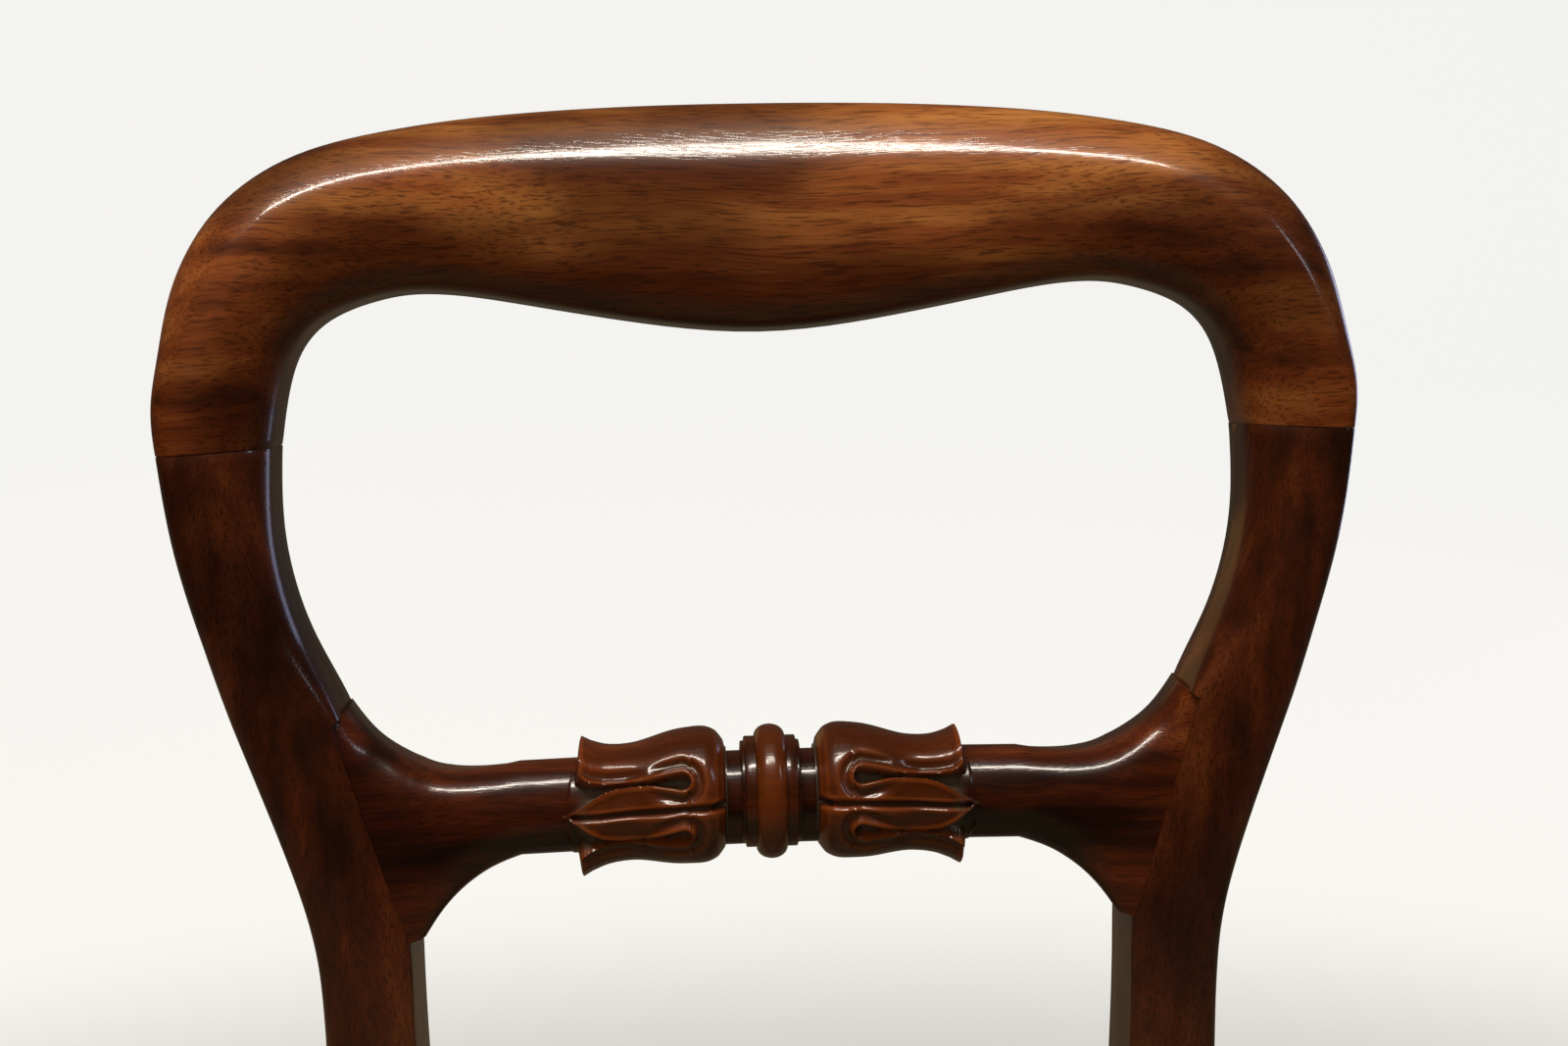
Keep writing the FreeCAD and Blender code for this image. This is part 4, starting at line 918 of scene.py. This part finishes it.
def plain_weave(name, thread, light, dark, roughness):
    """Threads at a spacing, over and under in turn: matte, with a little fuzz at the edges."""
    material, shader, place = new_material(name)
    waves = []
    for direction in "XY":
        wave = add_node(material, "ShaderNodeTexWave",
                        {"Vector": place, "Scale": math.tau / (20 * thread * MM), "Distortion": .6,
                         "Detail": 2.0, "Detail Scale": 1.5}, bands_direction=direction)
        waves.append(wave.outputs["Fac"])
    threads = add_node(material, "ShaderNodeMath", {0: waves[0], 1: waves[1]}, operation="MULTIPLY")
    colour = add_node(material, "ShaderNodeMix", {0: threads.outputs[0], 6: hex_colour(dark),
                                                  7: hex_colour(light)}, data_type="RGBA").outputs[2]
    material.node_tree.links.new(colour, shader.inputs["Base Color"])
    bump = add_node(material, "ShaderNodeBump", {"Height": threads.outputs[0], "Strength": .6,
                                                 "Distance": thread * MM * .4}).outputs["Normal"]
    material.node_tree.links.new(bump, shader.inputs["Normal"])
    shader.inputs["Roughness"].default_value = roughness
    shader.inputs["Sheen Weight"].default_value = .2
    return material


dress_node("seat_webbing", plain_weave("jute_webbing_twill", 2.0, "b08a58", "6e5230", .9))
SEAT_GAP = 1.5
SEAT_SLACK = .3
COVER_LOW = SEAT_TOP - REBATE_DEPTH + SEAT_SLACK
COVER_THICKNESS = 1.2
CLOTH_THICKNESS = .8
CLOTH_CORNER = 6.0
TURNED_UNDER = 14.0
DUST_COVER_GAP = 1.0
FRAME_THICKNESS = 22.0
WEBBING_THICKNESS = 2.8
PAD_LOW = COVER_LOW + COVER_THICKNESS + FRAME_THICKNESS + WEBBING_THICKNESS + CLOTH_THICKNESS


def rounded(corners, radius, z, steps=8):
    """A level outline through corners (x, y), each rounded to a radius."""
    points = [Vector((x, y, z)) for x, y in corners]
    outline = []
    for before, corner, after in zip(points[-1:] + points[:-1], points, points[1:] + points[:1]):
        back = (before - corner).normalized()
        ahead = (after - corner).normalized()
        half = back.angle(ahead) / 2
        centre = corner + (back + ahead).normalized() * (radius / math.sin(half))
        start = corner + back * (radius / math.tan(half)) - centre
        end = corner + ahead * (radius / math.tan(half)) - centre
        for step in range(steps + 1):
            turn = between(start, end, step / steps)
            outline.append(centre + turn.normalized() * radius)
    return outline


for node, name, inset, level, material, slot, rests in (
        ("seat_hessian", "seat_hessian_stretched", SEAT_GAP + COVER_THICKNESS, PAD_LOW - CLOTH_THICKNESS,
         plain_weave("jute_hessian_plain_weave", 1.6, "a98556", "5e4728", .9), "jute", "seat_webbing"),
        ("dust_cover", "dust_cover_stretched", SEAT_GAP + COVER_THICKNESS + TURNED_UNDER + DUST_COVER_GAP,
         COVER_LOW + COVER_THICKNESS - CLOTH_THICKNESS,
         plain_weave("cotton_black_plain_weave", .8, "1d1c1b", "0c0b0b", .85), "black_cloth",
         "seat_frame_front")):
    corners = seat_corners(inset)
    mesh = bmesh.new()
    loft(mesh, [rounded(corners, CLOTH_CORNER, z) for z in (level, level + CLOTH_THICKNESS)])
    cloth = make_piece(name, mesh, material, "drop_in_seat")
    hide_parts(node)

# Cushion
# The drop-in seat: curled hair and wadding under a plain wool rep, drawn over the
# edges of the loose frame and tacked beneath, so it swells to a low crown.
CROWN = 24.6
CROWN_STEPS = 16
PAD_SHOULDER = 118.0
PAD_CORNER = 8.0
PAD_EDGE = 1.5
HELD_EDGE = 2.5
PAD_PRESSURE = 4.0
PAD_FRAMES = 20
PAD_GRID = 5.0
SWELL_LIMIT = 5.0
SKIRT_LAP = 1.0
SKIRT_ROLL = 1.5
SKIRT_PROUD = .1
wool = plain_weave("wool_rep_sage", 1.1, "6f7656", "4a5038", .85)
rear_half = side_line(0.0, RAIL_LIP)
rings = [rounded(seat_corners(SEAT_GAP), PAD_CORNER, PAD_LOW)]
for step in range(CROWN_STEPS + 1):
    turn = math.radians(90 * step / CROWN_STEPS)
    drawn_in = PAD_SHOULDER * (1 - math.cos(turn))
    radius = min(PAD_CORNER + .7 * drawn_in, .8 * (rear_half - SEAT_GAP - drawn_in))
    rings.append(rounded(seat_corners(SEAT_GAP + drawn_in), radius,
                         PAD_LOW + PAD_EDGE + CROWN * math.sin(turn)))
pad_mesh = bmesh.new()
loft(pad_mesh, rings)
bmesh.ops.recalc_face_normals(pad_mesh, faces=pad_mesh.faces)
bmesh.ops.scale(pad_mesh, verts=pad_mesh.verts, vec=Vector((MM, MM, MM)))
data = bpy.data.meshes.new("pad")
pad_mesh.to_mesh(data)
pad_mesh.free()


def settled(data, kind, last_frame=1, **settings):
    """The points and faces of a mesh after one modifier, stepped through its frames."""
    holder = bpy.data.objects.new("pad", data)
    bpy.context.collection.objects.link(holder)
    change = holder.modifiers.new("change", kind)
    if kind == "CLOTH":
        held = holder.vertex_groups.new(name="held")
        held.add([v.index for v in data.vertices if v.co.z < (PAD_LOW + HELD_EDGE) * MM], 1.0, "REPLACE")
        change.settings.use_pressure = True
        change.settings.uniform_pressure_force = PAD_PRESSURE
        change.settings.vertex_group_mass = "held"
        change.settings.effector_weights.gravity = 0.0
    for name, value in settings.items():
        setattr(change, name, value)
    for frame_number in range(1, last_frame + 1):
        bpy.context.scene.frame_set(frame_number)
    result = bpy.data.meshes.new_from_object(holder.evaluated_get(bpy.context.evaluated_depsgraph_get()))
    bpy.data.objects.remove(holder)
    bpy.context.scene.frame_set(1)
    return result


data = settled(data, "REMESH", mode="VOXEL", voxel_size=PAD_GRID * MM)
before = [v.co.copy() for v in data.vertices]
swollen = settled(data.copy(), "CLOTH", PAD_FRAMES)
for vert, start, moved in zip(data.vertices, before, swollen.vertices):
    step = moved.co - start
    vert.co = start + step * min(1.0, SWELL_LIMIT * MM / max(step.length, 1e-9))
data = settled(data, "SUBSURF", levels=1, render_levels=1)
cushion_mesh = bmesh.new()
cushion_mesh.from_mesh(data)
bmesh.ops.scale(cushion_mesh, verts=cushion_mesh.verts, vec=Vector((1, 1, 1)) / MM)
# The cover's skirt, down the sides of the loose frame and turned under it.
skin = COVER_THICKNESS
skirt = bmesh.new()
loft(skirt, [rounded(seat_corners(SEAT_GAP + inset), PAD_CORNER - min(inset, 2.0), z) for inset, z in (
    (skin, PAD_LOW), (skin, COVER_LOW + skin), (skin + TURNED_UNDER, COVER_LOW + skin),
    (skin + TURNED_UNDER, COVER_LOW), (SKIRT_ROLL, COVER_LOW), (SKIRT_ROLL / 3, COVER_LOW + SKIRT_ROLL / 3),
    (SKIRT_PROUD, COVER_LOW + SKIRT_ROLL), (SKIRT_PROUD, PAD_LOW + SKIRT_LAP))])
add_mesh(cushion_mesh, skirt)
cushion = make_piece("seat_cushion_covered", cushion_mesh, wool, "drop_in_seat")
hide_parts("seat_cover", "seat_stuffing")

# Floor and backdrop
# A roll of pale background paper, plain and matte, that lies under the chair, keeps
# its shadow, has a soft painted shadow round the chair and sweeps up behind it.
BACKDROP_WIDTH = 10000.0
BACKDROP_SWEEP = ((-4000, 0), (2600, 0), (2900, 40), (3150, 160), (3340, 380), (3420, 700), (3440, 4000))
# The painted shadow round the chair: where it starts to fade, where it ends, and how much it is squeezed
# across.
PAINTED_SHADOW_EDGE = 700.0
PAINTED_SHADOW_END = 1150.0
PAINTED_SHADOW_SQUEEZE = .62
stage_mesh = bmesh.new()
verts = [stage_mesh.verts.new((-BACKDROP_WIDTH / 2, y, z)) for y, z in BACKDROP_SWEEP]
edges = [stage_mesh.edges.new((a, b)) for a, b in zip(verts, verts[1:])]
moved = bmesh.ops.extrude_edge_only(stage_mesh, edges=edges)["geom"]
bmesh.ops.translate(stage_mesh, verts=[v for v in moved if isinstance(v, bmesh.types.BMVert)],
                    vec=Vector((BACKDROP_WIDTH, 0, 0)))
bmesh.ops.recalc_face_normals(stage_mesh, faces=stage_mesh.faces)
bmesh.ops.scale(stage_mesh, verts=stage_mesh.verts, vec=Vector((MM, MM, MM)))


def seen_directly(owner, rays):
    """Where a ray comes straight from the camera, or from it through glass."""
    sockets = {0: rays.outputs["Is Camera Ray"], 1: rays.outputs["Is Transmission Ray"]}
    return add_node(owner, "ShaderNodeMath", sockets, operation="MAXIMUM").outputs[0]


# Matte paper that glows evenly where the camera sees it straight on, so it looks nearly
# white, and glows only faintly where it is mirrored, so it is hardly mirrored in the polish.
paper, shader, place = new_material("paper_backdrop_matte")
shader.inputs["Base Color"].default_value = hex_colour("6b5c40")
shader.inputs["Roughness"].default_value = .95
shader.inputs["Specular IOR Level"].default_value = .1
rays = add_node(paper, "ShaderNodeLightPath", {})
shown = seen_directly(paper, rays)
mirrored = add_node(paper, "ShaderNodeMath", {0: rays.outputs["Is Glossy Ray"], 1: .035},
                    operation="MULTIPLY").outputs[0]
shown = add_node(paper, "ShaderNodeMath", {0: shown, 1: mirrored}, operation="MAXIMUM").outputs[0]
# A painted shadow: the paper's glow is painted darker in a soft grey pool under and around the chair, wider
# than it is deep.
place = add_node(paper, "ShaderNodeVectorMath", {0: place, 1: (PAINTED_SHADOW_SQUEEZE, 1, 1)},
                 operation="MULTIPLY").outputs[0]
reach = add_node(paper, "ShaderNodeVectorMath", {0: place}, operation="LENGTH").outputs["Value"]
painted_shadow = add_node(paper, "ShaderNodeMapRange",
                {"Value": reach, 1: PAINTED_SHADOW_EDGE * MM, 2: PAINTED_SHADOW_END * MM, 3: .56, 4: .90},
                interpolation_type="SMOOTHERSTEP").outputs[0]
shown = add_node(paper, "ShaderNodeMath", {0: shown, 1: painted_shadow}, operation="MULTIPLY").outputs[0]
shader.inputs["Emission Color"].default_value = hex_colour("fafbfa")
paper.node_tree.links.new(shown, shader.inputs["Emission Strength"])
data = bpy.data.meshes.new("backdrop")
stage_mesh.to_mesh(data)
stage_mesh.free()
data.shade_smooth()
data.materials.append(paper)
backdrop = bpy.data.objects.new("backdrop", data)
bpy.context.collection.objects.link(backdrop)

# Lamps
# A long soft lamp overhead draws the highlight along the crest. Cool windows stand to
# the right and behind it, a dim warm lamp behind on the left, and a soft box in front
# fills the wood without being mirrored in its polish.
world = bpy.data.worlds.new("room")
bpy.context.scene.world = world
world.use_nodes = True
shown = seen_directly(world, add_node(world, "ShaderNodeLightPath", {}))
air = world.node_tree.nodes["Background"]
tint = add_node(world, "ShaderNodeMix", {0: shown, 6: hex_colour("d8b884"), 7: hex_colour("f8f8f5")},
                data_type="RGBA").outputs[2]
level = add_node(world, "ShaderNodeMix", {0: shown, 2: .05, 3: .93}).outputs[0]
world.node_tree.links.new(tint, air.inputs["Color"])
world.node_tree.links.new(level, air.inputs["Strength"])
for name, colour, power, size, stand, aim in (
        ("softbox_above", "fff4e6", 58.0, (1.9, .24), (-.3, -.1, 3.0), (-.3, .2, .8)),
        ("window_behind_right", "d0d6ff", 3.0, (.5, .9), (1.5, 1.5, .45), (0, .15, .7)),
        ("window_right", "eef0ff", 3.0, (.2, .7), (2.1, -.4, 2.35), (.2, .2, .85)),
        ("lamp_behind_left", "ffc870", .4, (.9, .7), (-1.0, 2.3, .35), (0, .15, .7)),
        ("softbox_front", "fff0e0", 20.0, (1.4, .7), (-.6, -2.2, 1.9), (0, .1, .7))):
    lamp = bpy.data.lights.new(name, "AREA")
    lamp.shape = "RECTANGLE"
    lamp.size, lamp.size_y = size
    lamp.energy = power
    lamp.color = hex_colour(colour)[:3]
    holder = bpy.data.objects.new(name, lamp)
    holder.location = stand
    holder.visible_glossy = name != "softbox_front"
    holder.rotation_euler = (Vector(aim) - Vector(stand)).to_track_quat("-Z", "Y").to_euler()
    bpy.context.collection.objects.link(holder)
bpy.context.scene.view_settings.view_transform = "Standard"
